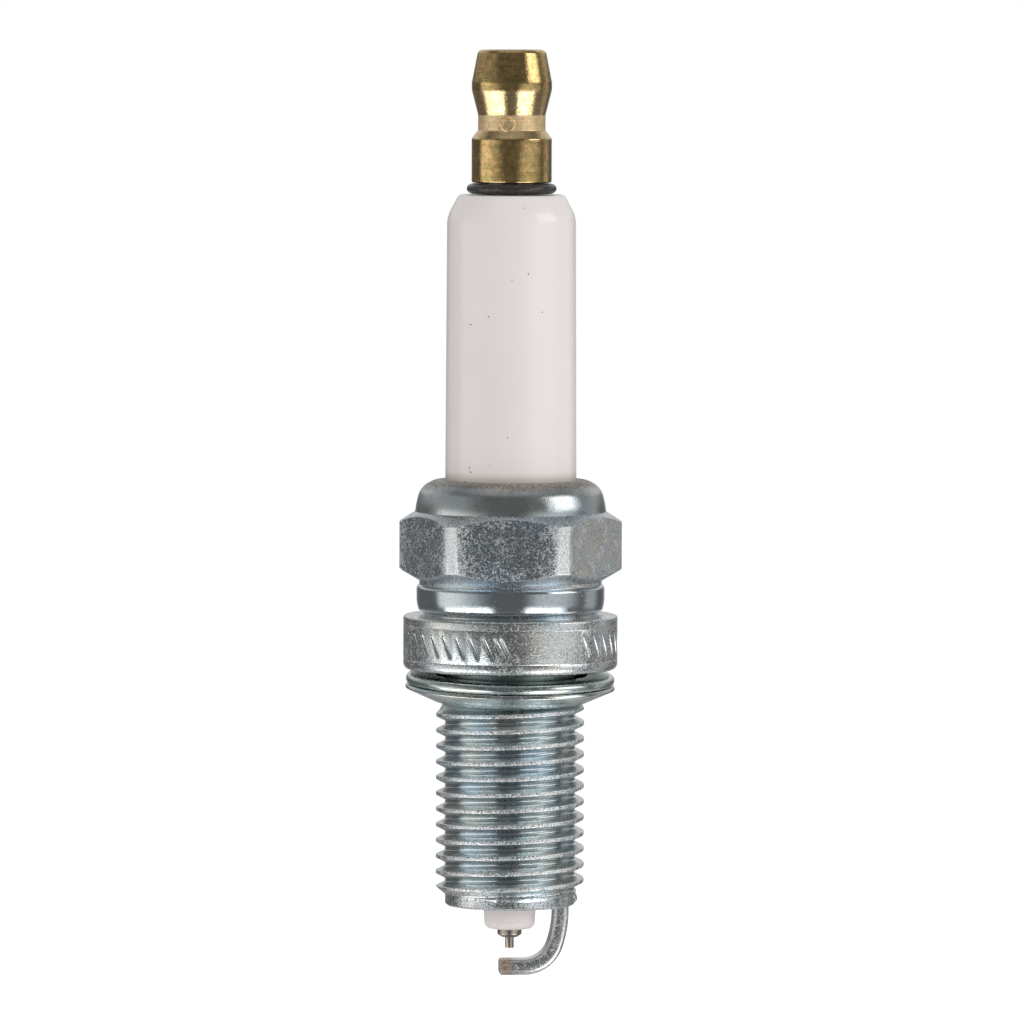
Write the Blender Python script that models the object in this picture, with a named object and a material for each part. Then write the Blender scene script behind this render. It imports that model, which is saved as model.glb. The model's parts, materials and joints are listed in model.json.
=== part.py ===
"""Spark plug for a motorcycle engine, modelled as the separate pieces it is assembled from.

Lengths are in metres. The plug stands along +Z with its firing end down. The origin is on its
axis, in the plane of the flange's underside, where the plug seats on the engine.
"""

from math import cos, hypot, pi, radians, sin, sqrt, tan

import bmesh
import bpy
from mathutils import Matrix, Vector

MM = 0.001

# Gap left between pieces that are pressed, fused, screwed or seated together
FIT = 0.05 * MM

# Facets round the outer pieces, round the thin pieces of the core and along one turn of the thread
OUTER_FACETS = 40
CORE_FACETS = 24
THREAD_FACETS = 24
# Points along each rounded corner of a turned section
ROUND_STEPS = 2

# Terminal nut: a brass snap terminal screwed on the stud and locked by one punch mark
TERMINAL_DIAMETER = 6.35 * MM
TERMINAL_TOP_DIAMETER = 5.34 * MM
TERMINAL_TAPER_LENGTH = 2.66 * MM
TERMINAL_LAND_LENGTH = 0.52 * MM
TERMINAL_FLARE_LENGTH = 1.98 * MM
TERMINAL_NECK_LENGTH = 1.31 * MM
TERMINAL_SHOULDER_LENGTH = 0.70 * MM
TERMINAL_BASE_LENGTH = 3.33 * MM
TERMINAL_TOP_ROUND = 0.28 * MM
TERMINAL_EDGE_ROUND = 0.12 * MM
TERMINAL_THREAD_DIAMETER = 4.0 * MM
TERMINAL_THREAD_DEPTH = 6.6 * MM
TERMINAL_NECK_WALL = 0.62 * MM
PUNCH_DIAMETER = 1.0 * MM
PUNCH_DEPTH = 0.3 * MM
PUNCH_TURN = -7.0

# Terminal stud, and the rubber ring squeezed round its flange under the nut
STUD_FLANGE_LAND = 0.55 * MM
STUD_SHANK_GAP = 0.15 * MM
STUD_TIP_DIAMETER = 2.8 * MM
STUD_TIP_LENGTH = 4.0 * MM
STUD_POINT_LENGTH = 0.5 * MM
ORING_HEIGHT = 0.85 * MM
ORING_WIDTH = 1.0 * MM
ORING_STEPS = 10

# Insulator
INSULATOR_EXPOSED_LENGTH = 22.59 * MM
INSULATOR_CROWN_DIAMETER = 8.1 * MM
INSULATOR_CROWN_LENGTH = 1.8 * MM
INSULATOR_CROWN_ROUND = 1.4 * MM
INSULATOR_EDGE_ROUND = 0.2 * MM
INSULATOR_BARREL_DIAMETER = 10.18 * MM
INSULATOR_HEAD_DIAMETER = 10.4 * MM
INSULATOR_RELIEF = 0.1 * MM
NOSE_PROJECTION = 1.9 * MM
NOSE_WALL = 1.0 * MM
NOSE_ROUND = 0.5 * MM
NOSE_CLEARANCE = 0.5 * MM

# Conductive core inside the insulator, from the electrode's head up to the stud
CORE_BORE_DIAMETER = 3.9 * MM
CORE_SEAT_DEPTH = 5.5 * MM
LOWER_SEAL_LENGTH = 3.0 * MM
RESISTOR_LENGTH = 9.0 * MM
UPPER_SEAL_LENGTH = 4.5 * MM
SEAL_POCKET_DEPTH = 2.5 * MM

# Centre electrode with its copper core and fine-wire firing tip
ELECTRODE_DIAMETER = 1.92 * MM
ELECTRODE_HEAD_DIAMETER = 2.9 * MM
ELECTRODE_HEAD_LENGTH = 1.3 * MM
ELECTRODE_PROJECTION = 0.46 * MM
ELECTRODE_CONE_LENGTH = 0.24 * MM
ELECTRODE_CONE_DIAMETER = 1.18 * MM
ELECTRODE_END_WALL = 1.4 * MM
COPPER_DIAMETER = 1.0 * MM
TIP_DIAMETER = 0.69 * MM
TIP_LENGTH = 0.87 * MM
TIP_SOCKET_DEPTH = 0.4 * MM

# Packing rings and talc held under the shell's rolled lip, and the washer under the insulator
PACKING_WIDTH = 0.75 * MM
PACKING_RING_STEPS = 8
TALC_HEIGHT = 2.2 * MM
SEAT_WASHER_THICKNESS = 0.3 * MM

# Shell above the seat: flange, shrink band, hexagon and rolled lip
FLANGE_DIAMETER = 17.0 * MM
FLANGE_HEIGHT = 4.3 * MM
FLANGE_BEVEL = 0.45 * MM
FLANGE_ROUND = 0.15 * MM
BAND_LENGTH = 2.65 * MM
BAND_WALL = 1.45 * MM
BAND_GROOVE_DEPTH = 0.16 * MM
BAND_GROOVE_LENGTH = 0.25 * MM
BAND_ROUND = 0.3 * MM
HEX_HEIGHT = 5.59 * MM
HEX_ACROSS_FLATS = 15.9 * MM
HEX_ACROSS_CORNERS = 17.72 * MM
HEX_CHAMFER_ANGLE = 32.0
CRIMP_HEIGHT = 2.49 * MM
CRIMP_DOME_HEIGHT = 1.35 * MM
CRIMP_WALL = 1.32 * MM
CRIMP_BASE_WALL = 1.63 * MM
CRIMP_LIP_THICKNESS = 0.9 * MM
CRIMP_STEPS = 7

# Shell below the seat: neck, right-hand thread let into the body, and plain end
REACH = 18.78 * MM
THREAD_CREST_DIAMETER = 11.76 * MM
THREAD_DEPTH = 0.72 * MM
THREAD_PITCH = 1.25 * MM
THREAD_CREST_WIDTH = 0.3 * MM
THREAD_FIRST_CREST = 0.55 * MM
THREAD_SINK = 0.08 * MM
NECK_RELIEF = 0.68 * MM
NECK_LENGTH = 2.48 * MM
END_RELIEF = 0.74 * MM
END_LENGTH = 0.8 * MM
END_CHAMFER = 0.15 * MM
NECK_WALL = 1.3 * MM
END_WALL = 1.74 * MM
SHOULDER_HEIGHT = 0.55 * MM
LEDGE_DEPTH = 9.0 * MM
LEDGE_WIDTH = 0.8 * MM
LEDGE_ANGLE = 30.0
LEDGE_LENGTH = 1.2 * MM

# Crush gasket: one steel strip folded in three, loose on the neck and hanging a little askew.
# Its bead stops inside the flange's edge, and its lip stands a little proud of its bead
GASKET_INSET = 0.3 * MM
GASKET_LIP_OVERHANG = 0.1 * MM
GASKET_CLEARANCE = 0.26 * MM
GASKET_STRIP = 0.34 * MM
GASKET_BEAD_RADIUS = 0.29 * MM
GASKET_FOLD_RADIUS = 0.34 * MM
GASKET_LEAF_OVERLAP = 1.7 * MM
GASKET_DISH = 20.0
GASKET_RISE = 27.0
GASKET_TILT = 2.0
GASKET_TURN = 1.5

# Ground electrode: a flat bar welded to the shell's end and bent under the firing tip
SPARK_GAP = 0.95 * MM
BAR_THICKNESS = 1.15 * MM
BAR_WIDTH = 2.3 * MM
BAR_ROUND = 0.4 * MM
BAR_INSET = 0.1 * MM
BAR_LEAN = 10.0
BAR_LEAN_RADIUS = 12.0 * MM
BAR_BEND_RADIUS = 2.55 * MM
BAR_OVERHANG = 0.7 * MM
BAR_TURN = 6.0

# Radii worked out from the driving sizes
HEAD_RADIUS = INSULATOR_HEAD_DIAMETER / 2
UPPER_BORE_RADIUS = HEAD_RADIUS + PACKING_WIDTH
THREAD_RADIUS = THREAD_CREST_DIAMETER / 2
ROOT_RADIUS = THREAD_RADIUS - THREAD_DEPTH
CORE_BODY_RADIUS = ROOT_RADIUS - 2 * THREAD_SINK
NECK_RADIUS = THREAD_RADIUS - NECK_RELIEF
LOWER_BORE_RADIUS = NECK_RADIUS - NECK_WALL
LEDGE_RADIUS = LOWER_BORE_RADIUS - LEDGE_WIDTH
END_RADIUS = THREAD_RADIUS - END_RELIEF
END_BORE_RADIUS = END_RADIUS - END_WALL
CORE_BORE_RADIUS = CORE_BORE_DIAMETER / 2
CORE_RADIUS = CORE_BORE_RADIUS - FIT
ELECTRODE_RADIUS = ELECTRODE_DIAMETER / 2
STUD_FLANGE_RADIUS = CORE_BORE_RADIUS + STUD_FLANGE_LAND

# Heights worked out from the driving sizes
HEX_BASE = FLANGE_HEIGHT + BAND_LENGTH
CRIMP_BASE = HEX_BASE + HEX_HEIGHT
CRIMP_TOP = CRIMP_BASE + CRIMP_HEIGHT
INSULATOR_TOP = CRIMP_TOP + INSULATOR_EXPOSED_LENGTH
TERMINAL_BASE = INSULATOR_TOP + ORING_HEIGHT + 2 * FIT
PACKING_RING_HEIGHT = PACKING_WIDTH - 2 * FIT
PACKING_TOP = CRIMP_TOP - CRIMP_LIP_THICKNESS
TALC_TOP = PACKING_TOP - PACKING_RING_HEIGHT - 2 * FIT
TALC_BASE = TALC_TOP - TALC_HEIGHT
COLLAR_TOP = TALC_BASE - PACKING_RING_HEIGHT - 3 * FIT
NOSE_END = -REACH - NOSE_PROJECTION
ELECTRODE_END = NOSE_END - ELECTRODE_PROJECTION - ELECTRODE_CONE_LENGTH
TIP_END = ELECTRODE_END - TIP_LENGTH
HEAD_BASE = -CORE_SEAT_DEPTH - CORE_BORE_RADIUS + ELECTRODE_HEAD_DIAMETER / 2 + FIT * sqrt(2)
HEAD_TOP = HEAD_BASE + ELECTRODE_HEAD_LENGTH
LOWER_SEAL_TOP = HEAD_TOP + LOWER_SEAL_LENGTH
RESISTOR_BASE = LOWER_SEAL_TOP + FIT
RESISTOR_TOP = RESISTOR_BASE + RESISTOR_LENGTH
UPPER_SEAL_BASE = RESISTOR_TOP + FIT
UPPER_SEAL_TOP = UPPER_SEAL_BASE + UPPER_SEAL_LENGTH


def clear_scene():
    """Start from an empty scene."""
    for item in list(bpy.data.objects):
        bpy.data.objects.remove(item, do_unlink=True)


def finish(name, colour, roughness, metallic):
    """A plain material for one piece."""
    material = bpy.data.materials.new(name)
    material.use_nodes = True
    shader = material.node_tree.nodes["Principled BSDF"]
    shader.inputs["Base Color"].default_value = (*colour, 1.0)
    shader.inputs["Roughness"].default_value = roughness
    shader.inputs["Metallic"].default_value = metallic
    return material


def make_object(name, mesh, material=None):
    """Turn a bmesh into a smooth-shaded object with crisp edges."""
    bmesh.ops.recalc_face_normals(mesh, faces=mesh.faces)
    data = bpy.data.meshes.new(name)
    mesh.to_mesh(data)
    mesh.free()
    data.shade_smooth()
    data.set_sharp_from_angle(angle=radians(30))
    if material:
        data.materials.append(material)
    piece = bpy.data.objects.new(name, data)
    bpy.context.scene.collection.objects.link(piece)
    return piece


def make_guide(piece):
    """Mark an object that only shapes another one."""
    piece.hide_render = True
    piece.display_type = "WIRE"
    return piece


def combine(piece, guide, operation):
    """Join, cut or trim a piece with a guide."""
    modifier = piece.modifiers.new(operation.lower(), "BOOLEAN")
    modifier.operation = operation
    modifier.solver = "EXACT"
    modifier.object = make_guide(guide)


def rounded(before, corner, after, radius):
    """Points of the arc that rounds one corner, no larger than its two sides allow."""
    to_before = Vector(before[:2]) - Vector(corner[:2])
    to_after = Vector(after[:2]) - Vector(corner[:2])
    half_angle = to_before.angle(to_after) / 2
    reach = min(radius / tan(half_angle), 0.45 * to_before.length, 0.45 * to_after.length)
    radius = reach * tan(half_angle)
    middle = (to_before.normalized() + to_after.normalized()).normalized()
    centre = Vector(corner[:2]) + middle * radius / sin(half_angle)
    spoke = Vector(corner[:2]) + to_before.normalized() * reach - centre
    last_spoke = Vector(corner[:2]) + to_after.normalized() * reach - centre
    sweep = spoke.angle_signed(last_spoke)
    turns = [Matrix.Rotation(-sweep * step / ROUND_STEPS, 2) for step in range(ROUND_STEPS + 1)]
    return [tuple(centre + turn @ spoke) for turn in turns]


def section(corners):
    """A closed section from corners given as (radius, height) or (radius, height, rounding)."""
    points = []
    for index, corner in enumerate(corners):
        if len(corner) == 2:
            points.append(corner)
        else:
            following = corners[(index + 1) % len(corners)]
            points += rounded(corners[index - 1], corner, following, corner[2])
    return points


def turn_section(name, points, material=None, facets=OUTER_FACETS):
    """Spin a section about Z; a section that starts and ends on the axis makes a solid bar."""
    mesh = bmesh.new()
    corners = [mesh.verts.new((radius, 0, height)) for radius, height in points]
    edges = [mesh.edges.new(pair) for pair in zip(corners, corners[1:])]
    if points[0][0] > 0 or points[-1][0] > 0:
        edges.append(mesh.edges.new((corners[-1], corners[0])))
    bmesh.ops.spin(mesh, geom=corners + edges, cent=(0, 0, 0), axis=(0, 0, 1),
                   angle=2 * pi, steps=facets, use_merge=True)
    bmesh.ops.remove_doubles(mesh, verts=mesh.verts, dist=FIT / 100)
    return make_object(name, mesh, material)


def oval(centre_radius, centre_height, width, height, steps):
    """An oval section, as of a squeezed ring."""
    angles = [2 * pi * step / steps for step in range(steps)]
    return [(centre_radius + width / 2 * cos(angle), centre_height + height / 2 * sin(angle))
            for angle in angles]


def terminal_nut(material):
    """Snap terminal: tapered top, land, flare to a neck, and a plain base with a blind thread."""
    neck_radius = TERMINAL_THREAD_DIAMETER / 2 + FIT + TERMINAL_NECK_WALL
    neck_base = TERMINAL_BASE + TERMINAL_BASE_LENGTH + TERMINAL_SHOULDER_LENGTH
    neck_top = neck_base + TERMINAL_NECK_LENGTH
    land_base = neck_top + TERMINAL_FLARE_LENGTH
    land_top = land_base + TERMINAL_LAND_LENGTH
    top = land_top + TERMINAL_TAPER_LENGTH
    radius = TERMINAL_DIAMETER / 2
    bore_radius = TERMINAL_THREAD_DIAMETER / 2 + FIT
    bore_top = TERMINAL_BASE + TERMINAL_THREAD_DEPTH
    nut = turn_section("terminal_nut", section([
        (0, top),
        (TERMINAL_TOP_DIAMETER / 2, top, TERMINAL_TOP_ROUND),
        (radius, land_top, TERMINAL_EDGE_ROUND),
        (radius, land_base, TERMINAL_EDGE_ROUND),
        (neck_radius, neck_top, TERMINAL_EDGE_ROUND),
        (neck_radius, neck_base),
        (radius, neck_base - TERMINAL_SHOULDER_LENGTH),
        (radius, TERMINAL_BASE, TERMINAL_EDGE_ROUND),
        (bore_radius, TERMINAL_BASE),
        (bore_radius, bore_top),
        (0, bore_top + STUD_POINT_LENGTH),
    ]), material)

    punch_mesh = bmesh.new()
    bmesh.ops.create_cone(punch_mesh, cap_ends=True, segments=CORE_FACETS, depth=2 * PUNCH_DEPTH,
                          radius1=PUNCH_DIAMETER / 2, radius2=PUNCH_DIAMETER / 2)
    place = (Matrix.Rotation(radians(PUNCH_TURN), 4, "Z")
             @ Matrix.Translation((0, -neck_radius, (neck_base + neck_top) / 2))
             @ Matrix.Rotation(radians(90), 4, "X"))
    bmesh.ops.transform(punch_mesh, matrix=place, verts=punch_mesh.verts)
    combine(nut, make_object("punch_guide", punch_mesh), "DIFFERENCE")
    return nut


def terminal_stud(material):
    """Stud that carries the nut, rests by its flange on the insulator and ends in the upper seal."""
    thread_radius = TERMINAL_THREAD_DIAMETER / 2
    thread_top = TERMINAL_BASE + TERMINAL_THREAD_DEPTH - FIT
    flange_top = TERMINAL_BASE - FIT
    flange_base = INSULATOR_TOP + FIT
    shank_radius = CORE_BORE_RADIUS - STUD_SHANK_GAP
    tip_end = UPPER_SEAL_TOP - SEAL_POCKET_DEPTH + FIT
    return turn_section("terminal_stud", [
        (0, thread_top),
        (thread_radius - STUD_POINT_LENGTH, thread_top),
        (thread_radius, thread_top - STUD_POINT_LENGTH),
        (thread_radius, flange_top),
        (STUD_FLANGE_RADIUS, flange_top),
        (STUD_FLANGE_RADIUS, flange_base),
        (shank_radius, flange_base),
        (shank_radius, tip_end + STUD_TIP_LENGTH + STUD_POINT_LENGTH),
        (STUD_TIP_DIAMETER / 2, tip_end + STUD_TIP_LENGTH),
        (STUD_TIP_DIAMETER / 2, tip_end),
        (0, tip_end),
    ], material, CORE_FACETS)


def o_ring(material):
    """Rubber ring squeezed between the nut and the insulator, round the stud's flange."""
    ring = oval(STUD_FLANGE_RADIUS + FIT + ORING_WIDTH / 2, INSULATOR_TOP + FIT + ORING_HEIGHT / 2,
                ORING_WIDTH, ORING_HEIGHT, ORING_STEPS)
    return turn_section("o_ring", ring, material)


def ledge_height(radius):
    """Height of the shell's sloping ledge at a radius."""
    return -LEDGE_DEPTH + (radius - LEDGE_RADIUS) * tan(radians(LEDGE_ANGLE))


def insulator(material):
    """Ceramic body: crowned barrel, collar inside the shell, seating cone, nose and stepped bore."""
    collar_radius = UPPER_BORE_RADIUS - INSULATOR_RELIEF
    body_radius = LOWER_BORE_RADIUS - INSULATOR_RELIEF
    nose_root = LEDGE_RADIUS - NOSE_CLEARANCE
    nose_tip = ELECTRODE_RADIUS + NOSE_WALL
    rise = SEAT_WASHER_THICKNESS + 2 * FIT
    collar_base = SHOULDER_HEIGHT + UPPER_BORE_RADIUS - LOWER_BORE_RADIUS + 3 * INSULATOR_RELIEF
    collar_edge = (UPPER_BORE_RADIUS - HEAD_RADIUS) / 4
    electrode_bore = ELECTRODE_RADIUS + FIT
    return turn_section("insulator", section([
        (CORE_BORE_RADIUS, INSULATOR_TOP),
        (INSULATOR_CROWN_DIAMETER / 2, INSULATOR_TOP, INSULATOR_EDGE_ROUND),
        (INSULATOR_BARREL_DIAMETER / 2, INSULATOR_TOP - INSULATOR_CROWN_LENGTH,
         INSULATOR_CROWN_ROUND),
        (HEAD_RADIUS, CRIMP_TOP),
        (HEAD_RADIUS, COLLAR_TOP),
        (collar_radius - collar_edge, COLLAR_TOP),
        (collar_radius, COLLAR_TOP - collar_edge),
        (collar_radius, collar_base),
        (body_radius, collar_base - collar_radius + body_radius),
        (body_radius, ledge_height(body_radius) + rise),
        (nose_root, ledge_height(nose_root) + rise),
        (nose_tip, NOSE_END, NOSE_ROUND),
        (electrode_bore, NOSE_END),
        (electrode_bore, -CORE_SEAT_DEPTH - CORE_BORE_RADIUS + electrode_bore),
        (CORE_BORE_RADIUS, -CORE_SEAT_DEPTH),
    ]), material)


def lower_glass_seal(material):
    """Fused plug of conducting glass round the electrode's head."""
    pocket_radius = ELECTRODE_HEAD_DIAMETER / 2 + FIT
    return turn_section("lower_glass_seal", [
        (0, LOWER_SEAL_TOP),
        (CORE_RADIUS, LOWER_SEAL_TOP),
        (CORE_RADIUS, -CORE_SEAT_DEPTH),
        (pocket_radius, -CORE_SEAT_DEPTH),
        (pocket_radius, HEAD_TOP + FIT),
        (0, HEAD_TOP + FIT),
    ], material, CORE_FACETS)


def resistor(material):
    """Suppressor rod between the two seals."""
    return turn_section("resistor", [
        (0, RESISTOR_TOP),
        (CORE_RADIUS, RESISTOR_TOP),
        (CORE_RADIUS, RESISTOR_BASE),
        (0, RESISTOR_BASE),
    ], material, CORE_FACETS)


def upper_glass_seal(material):
    """Fused plug of conducting glass round the stud's lower end."""
    pocket_radius = STUD_TIP_DIAMETER / 2 + FIT
    pocket_base = UPPER_SEAL_TOP - SEAL_POCKET_DEPTH
    return turn_section("upper_glass_seal", [
        (0, pocket_base),
        (pocket_radius, pocket_base),
        (pocket_radius, UPPER_SEAL_TOP),
        (CORE_RADIUS, UPPER_SEAL_TOP),
        (CORE_RADIUS, UPPER_SEAL_BASE),
        (0, UPPER_SEAL_BASE),
    ], material, CORE_FACETS)


def copper_end():
    """Height where the copper inside the electrode ends."""
    return ELECTRODE_END + ELECTRODE_CONE_LENGTH + ELECTRODE_END_WALL


def centre_electrode(material):
    """Nickel sleeve with a head on the bore's step, a blind bore for its core and a tip socket."""
    head_radius = ELECTRODE_HEAD_DIAMETER / 2
    core_radius = COPPER_DIAMETER / 2 + FIT
    tip_radius = TIP_DIAMETER / 2 + FIT
    shank_top = HEAD_BASE - head_radius + ELECTRODE_RADIUS
    socket_top = ELECTRODE_END + TIP_SOCKET_DEPTH + FIT
    return turn_section("centre_electrode", [
        (0, copper_end()),
        (core_radius, copper_end()),
        (core_radius, HEAD_TOP),
        (head_radius, HEAD_TOP),
        (head_radius, HEAD_BASE),
        (ELECTRODE_RADIUS, shank_top),
        (ELECTRODE_RADIUS, ELECTRODE_END + ELECTRODE_CONE_LENGTH),
        (ELECTRODE_CONE_DIAMETER / 2, ELECTRODE_END),
        (tip_radius, ELECTRODE_END),
        (tip_radius, socket_top),
        (0, socket_top),
    ], material, CORE_FACETS)


def electrode_copper_core(material):
    """Copper rod that carries heat up the centre electrode."""
    radius = COPPER_DIAMETER / 2
    return turn_section("electrode_copper_core", [
        (0, HEAD_TOP),
        (radius, HEAD_TOP),
        (radius, copper_end() + FIT),
        (0, copper_end() + FIT),
    ], material, CORE_FACETS)


def firing_tip(material):
    """Fine-wire tip set in the electrode's end."""
    radius = TIP_DIAMETER / 2
    return turn_section("firing_tip", [
        (0, ELECTRODE_END + TIP_SOCKET_DEPTH),
        (radius, ELECTRODE_END + TIP_SOCKET_DEPTH),
        (radius, TIP_END),
        (0, TIP_END),
    ], material, CORE_FACETS)


def packing_ring(name, top, material):
    """Wire ring that closes one end of the talc."""
    ring = oval(HEAD_RADIUS + PACKING_WIDTH / 2, top - FIT - PACKING_RING_HEIGHT / 2,
                PACKING_RING_HEIGHT, PACKING_RING_HEIGHT, PACKING_RING_STEPS)
    return turn_section(name, ring, material)


def talc_packing(material):
    """Pressed powder between the insulator and the shell."""
    return turn_section("talc_packing", [
        (HEAD_RADIUS + FIT, TALC_TOP),
        (UPPER_BORE_RADIUS - FIT, TALC_TOP),
        (UPPER_BORE_RADIUS - FIT, TALC_BASE),
        (HEAD_RADIUS + FIT, TALC_BASE),
    ], material)


def seat_washer(material):
    """Thin washer between the insulator's cone and the shell's ledge."""
    inner = LEDGE_RADIUS + FIT
    outer = LOWER_BORE_RADIUS - INSULATOR_RELIEF
    return turn_section("seat_washer", [
        (outer, ledge_height(outer) + FIT + SEAT_WASHER_THICKNESS),
        (outer, ledge_height(outer) + FIT),
        (inner, ledge_height(inner) + FIT),
        (inner, ledge_height(inner) + FIT + SEAT_WASHER_THICKNESS),
    ], material)


def crimp_dome(lip_radius):
    """Outside of the rolled lip: a quarter oval from the lip's edge down to the shoulder."""
    reach = UPPER_BORE_RADIUS + CRIMP_WALL - lip_radius
    base = CRIMP_TOP - CRIMP_DOME_HEIGHT
    angles = [pi / 2 * (1 - step / CRIMP_STEPS) for step in range(CRIMP_STEPS + 1)]
    return [(lip_radius + reach * cos(angle), base + CRIMP_DOME_HEIGHT * sin(angle))
            for angle in angles]


def hexagon(material):
    """Spanner hexagon: a chamfered turned ring trimmed by a six-sided bar."""
    corner_radius = HEX_ACROSS_CORNERS / 2
    slope = tan(radians(HEX_CHAMFER_ANGLE))
    crimp_radius = UPPER_BORE_RADIUS + CRIMP_BASE_WALL
    band_radius = UPPER_BORE_RADIUS + BAND_WALL - BAND_GROOVE_DEPTH
    root = UPPER_BORE_RADIUS + BAND_WALL / 2
    ring = turn_section("hexagon_guide", [
        (root, CRIMP_BASE + (crimp_radius - root) * slope),
        (corner_radius, CRIMP_BASE - (corner_radius - crimp_radius) * slope),
        (corner_radius, HEX_BASE + (corner_radius - band_radius) * slope),
        (root, HEX_BASE - (band_radius - root) * slope),
    ], material)
    bar_mesh = bmesh.new()
    bmesh.ops.create_cone(bar_mesh, cap_ends=True, segments=6, depth=3 * HEX_HEIGHT,
                          radius1=HEX_ACROSS_FLATS / sqrt(3), radius2=HEX_ACROSS_FLATS / sqrt(3))
    # Half a facet apart, the ring's edges and the body's never meet
    ring.data.transform(Matrix.Rotation(pi / OUTER_FACETS, 4, "Z"))
    place = Matrix.Translation((0, 0, HEX_BASE + HEX_HEIGHT / 2)) @ Matrix.Rotation(radians(30), 4, "Z")
    bmesh.ops.transform(bar_mesh, matrix=place, verts=bar_mesh.verts)
    combine(ring, make_object("hex_bar_guide", bar_mesh), "INTERSECT")
    return ring


def thread_radius(radius, height):
    """Radius at a height: the neck's at the top, and less where the thread runs out in two cones."""
    if height > -NECK_LENGTH - FIT / 100:
        return NECK_RADIUS
    below_neck = NECK_RADIUS - NECK_LENGTH - height
    above_end = END_RADIUS + height + REACH - END_LENGTH
    return min(radius, below_neck, above_end)


def open_rim(mesh, height):
    """Open edges of a mesh at a height."""
    return [edge for edge in mesh.edges if edge.is_boundary
            and all(abs(vert.co.z - height) < FIT / 100 for vert in edge.verts)]


def grow_rim(mesh, rim, radius, height):
    """Carry an open round rim to another radius and height, and give its new edges."""
    grown = bmesh.ops.extrude_edge_only(mesh, edges=rim)["geom"]
    for vert in [item for item in grown if isinstance(item, bmesh.types.BMVert)]:
        scale = radius / hypot(vert.co.x, vert.co.y)
        vert.co = (vert.co.x * scale, vert.co.y * scale, height)
    return [item for item in grown if isinstance(item, bmesh.types.BMEdge)]


def thread():
    """Neck and thread as a ring: one pitch spun up its helix, copied for each turn and tapered."""
    top = -NECK_LENGTH
    bottom = -REACH + END_LENGTH - THREAD_SINK
    first_crest = -NECK_LENGTH - THREAD_FIRST_CREST
    turns_below = int((first_crest - bottom) / THREAD_PITCH) + 2
    turns_above = int((top - first_crest) / THREAD_PITCH) + 1
    lowest = first_crest - turns_below * THREAD_PITCH
    mesh = bmesh.new()
    corners = [
        mesh.verts.new((ROOT_RADIUS, 0, lowest - THREAD_PITCH / 2)),
        mesh.verts.new((THREAD_RADIUS, 0, lowest - THREAD_CREST_WIDTH / 2)),
        mesh.verts.new((THREAD_RADIUS, 0, lowest + THREAD_CREST_WIDTH / 2)),
        mesh.verts.new((ROOT_RADIUS, 0, lowest + THREAD_PITCH / 2)),
    ]
    edges = [mesh.edges.new(pair) for pair in zip(corners, corners[1:])]
    bmesh.ops.spin(mesh, geom=corners + edges, cent=(0, 0, 0), axis=(0, 0, 1), angle=2 * pi,
                   steps=THREAD_FACETS, dvec=(0, 0, THREAD_PITCH / THREAD_FACETS))
    one_turn = list(mesh.verts) + list(mesh.edges) + list(mesh.faces)
    for number in range(1, turns_below + turns_above + 1):
        copy = bmesh.ops.duplicate(mesh, geom=one_turn)["geom"]
        verts = [item for item in copy if isinstance(item, bmesh.types.BMVert)]
        bmesh.ops.translate(mesh, vec=(0, 0, number * THREAD_PITCH), verts=verts)
    bmesh.ops.remove_doubles(mesh, verts=mesh.verts, dist=FIT / 10)
    for height, outward in ((top, 1), (bottom, -1)):
        everything = list(mesh.verts) + list(mesh.edges) + list(mesh.faces)
        bmesh.ops.bisect_plane(mesh, geom=everything, dist=FIT / 100, plane_co=(0, 0, height),
                               plane_no=(0, 0, outward), clear_outer=True)
    for vert in mesh.verts:
        radius = hypot(vert.co.x, vert.co.y)
        scale = thread_radius(radius, vert.co.z) / radius
        vert.co.x *= scale
        vert.co.y *= scale
    inner = CORE_BODY_RADIUS - 2 * THREAD_SINK
    neck_rim = grow_rim(mesh, open_rim(mesh, top), NECK_RADIUS, SHOULDER_HEIGHT / 2)
    neck_rim = grow_rim(mesh, neck_rim, inner, SHOULDER_HEIGHT / 2)
    end_rim = grow_rim(mesh, open_rim(mesh, bottom), inner, bottom)
    bmesh.ops.bridge_loops(mesh, edges=neck_rim + end_rim)
    return make_object("thread_guide", mesh)


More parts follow.
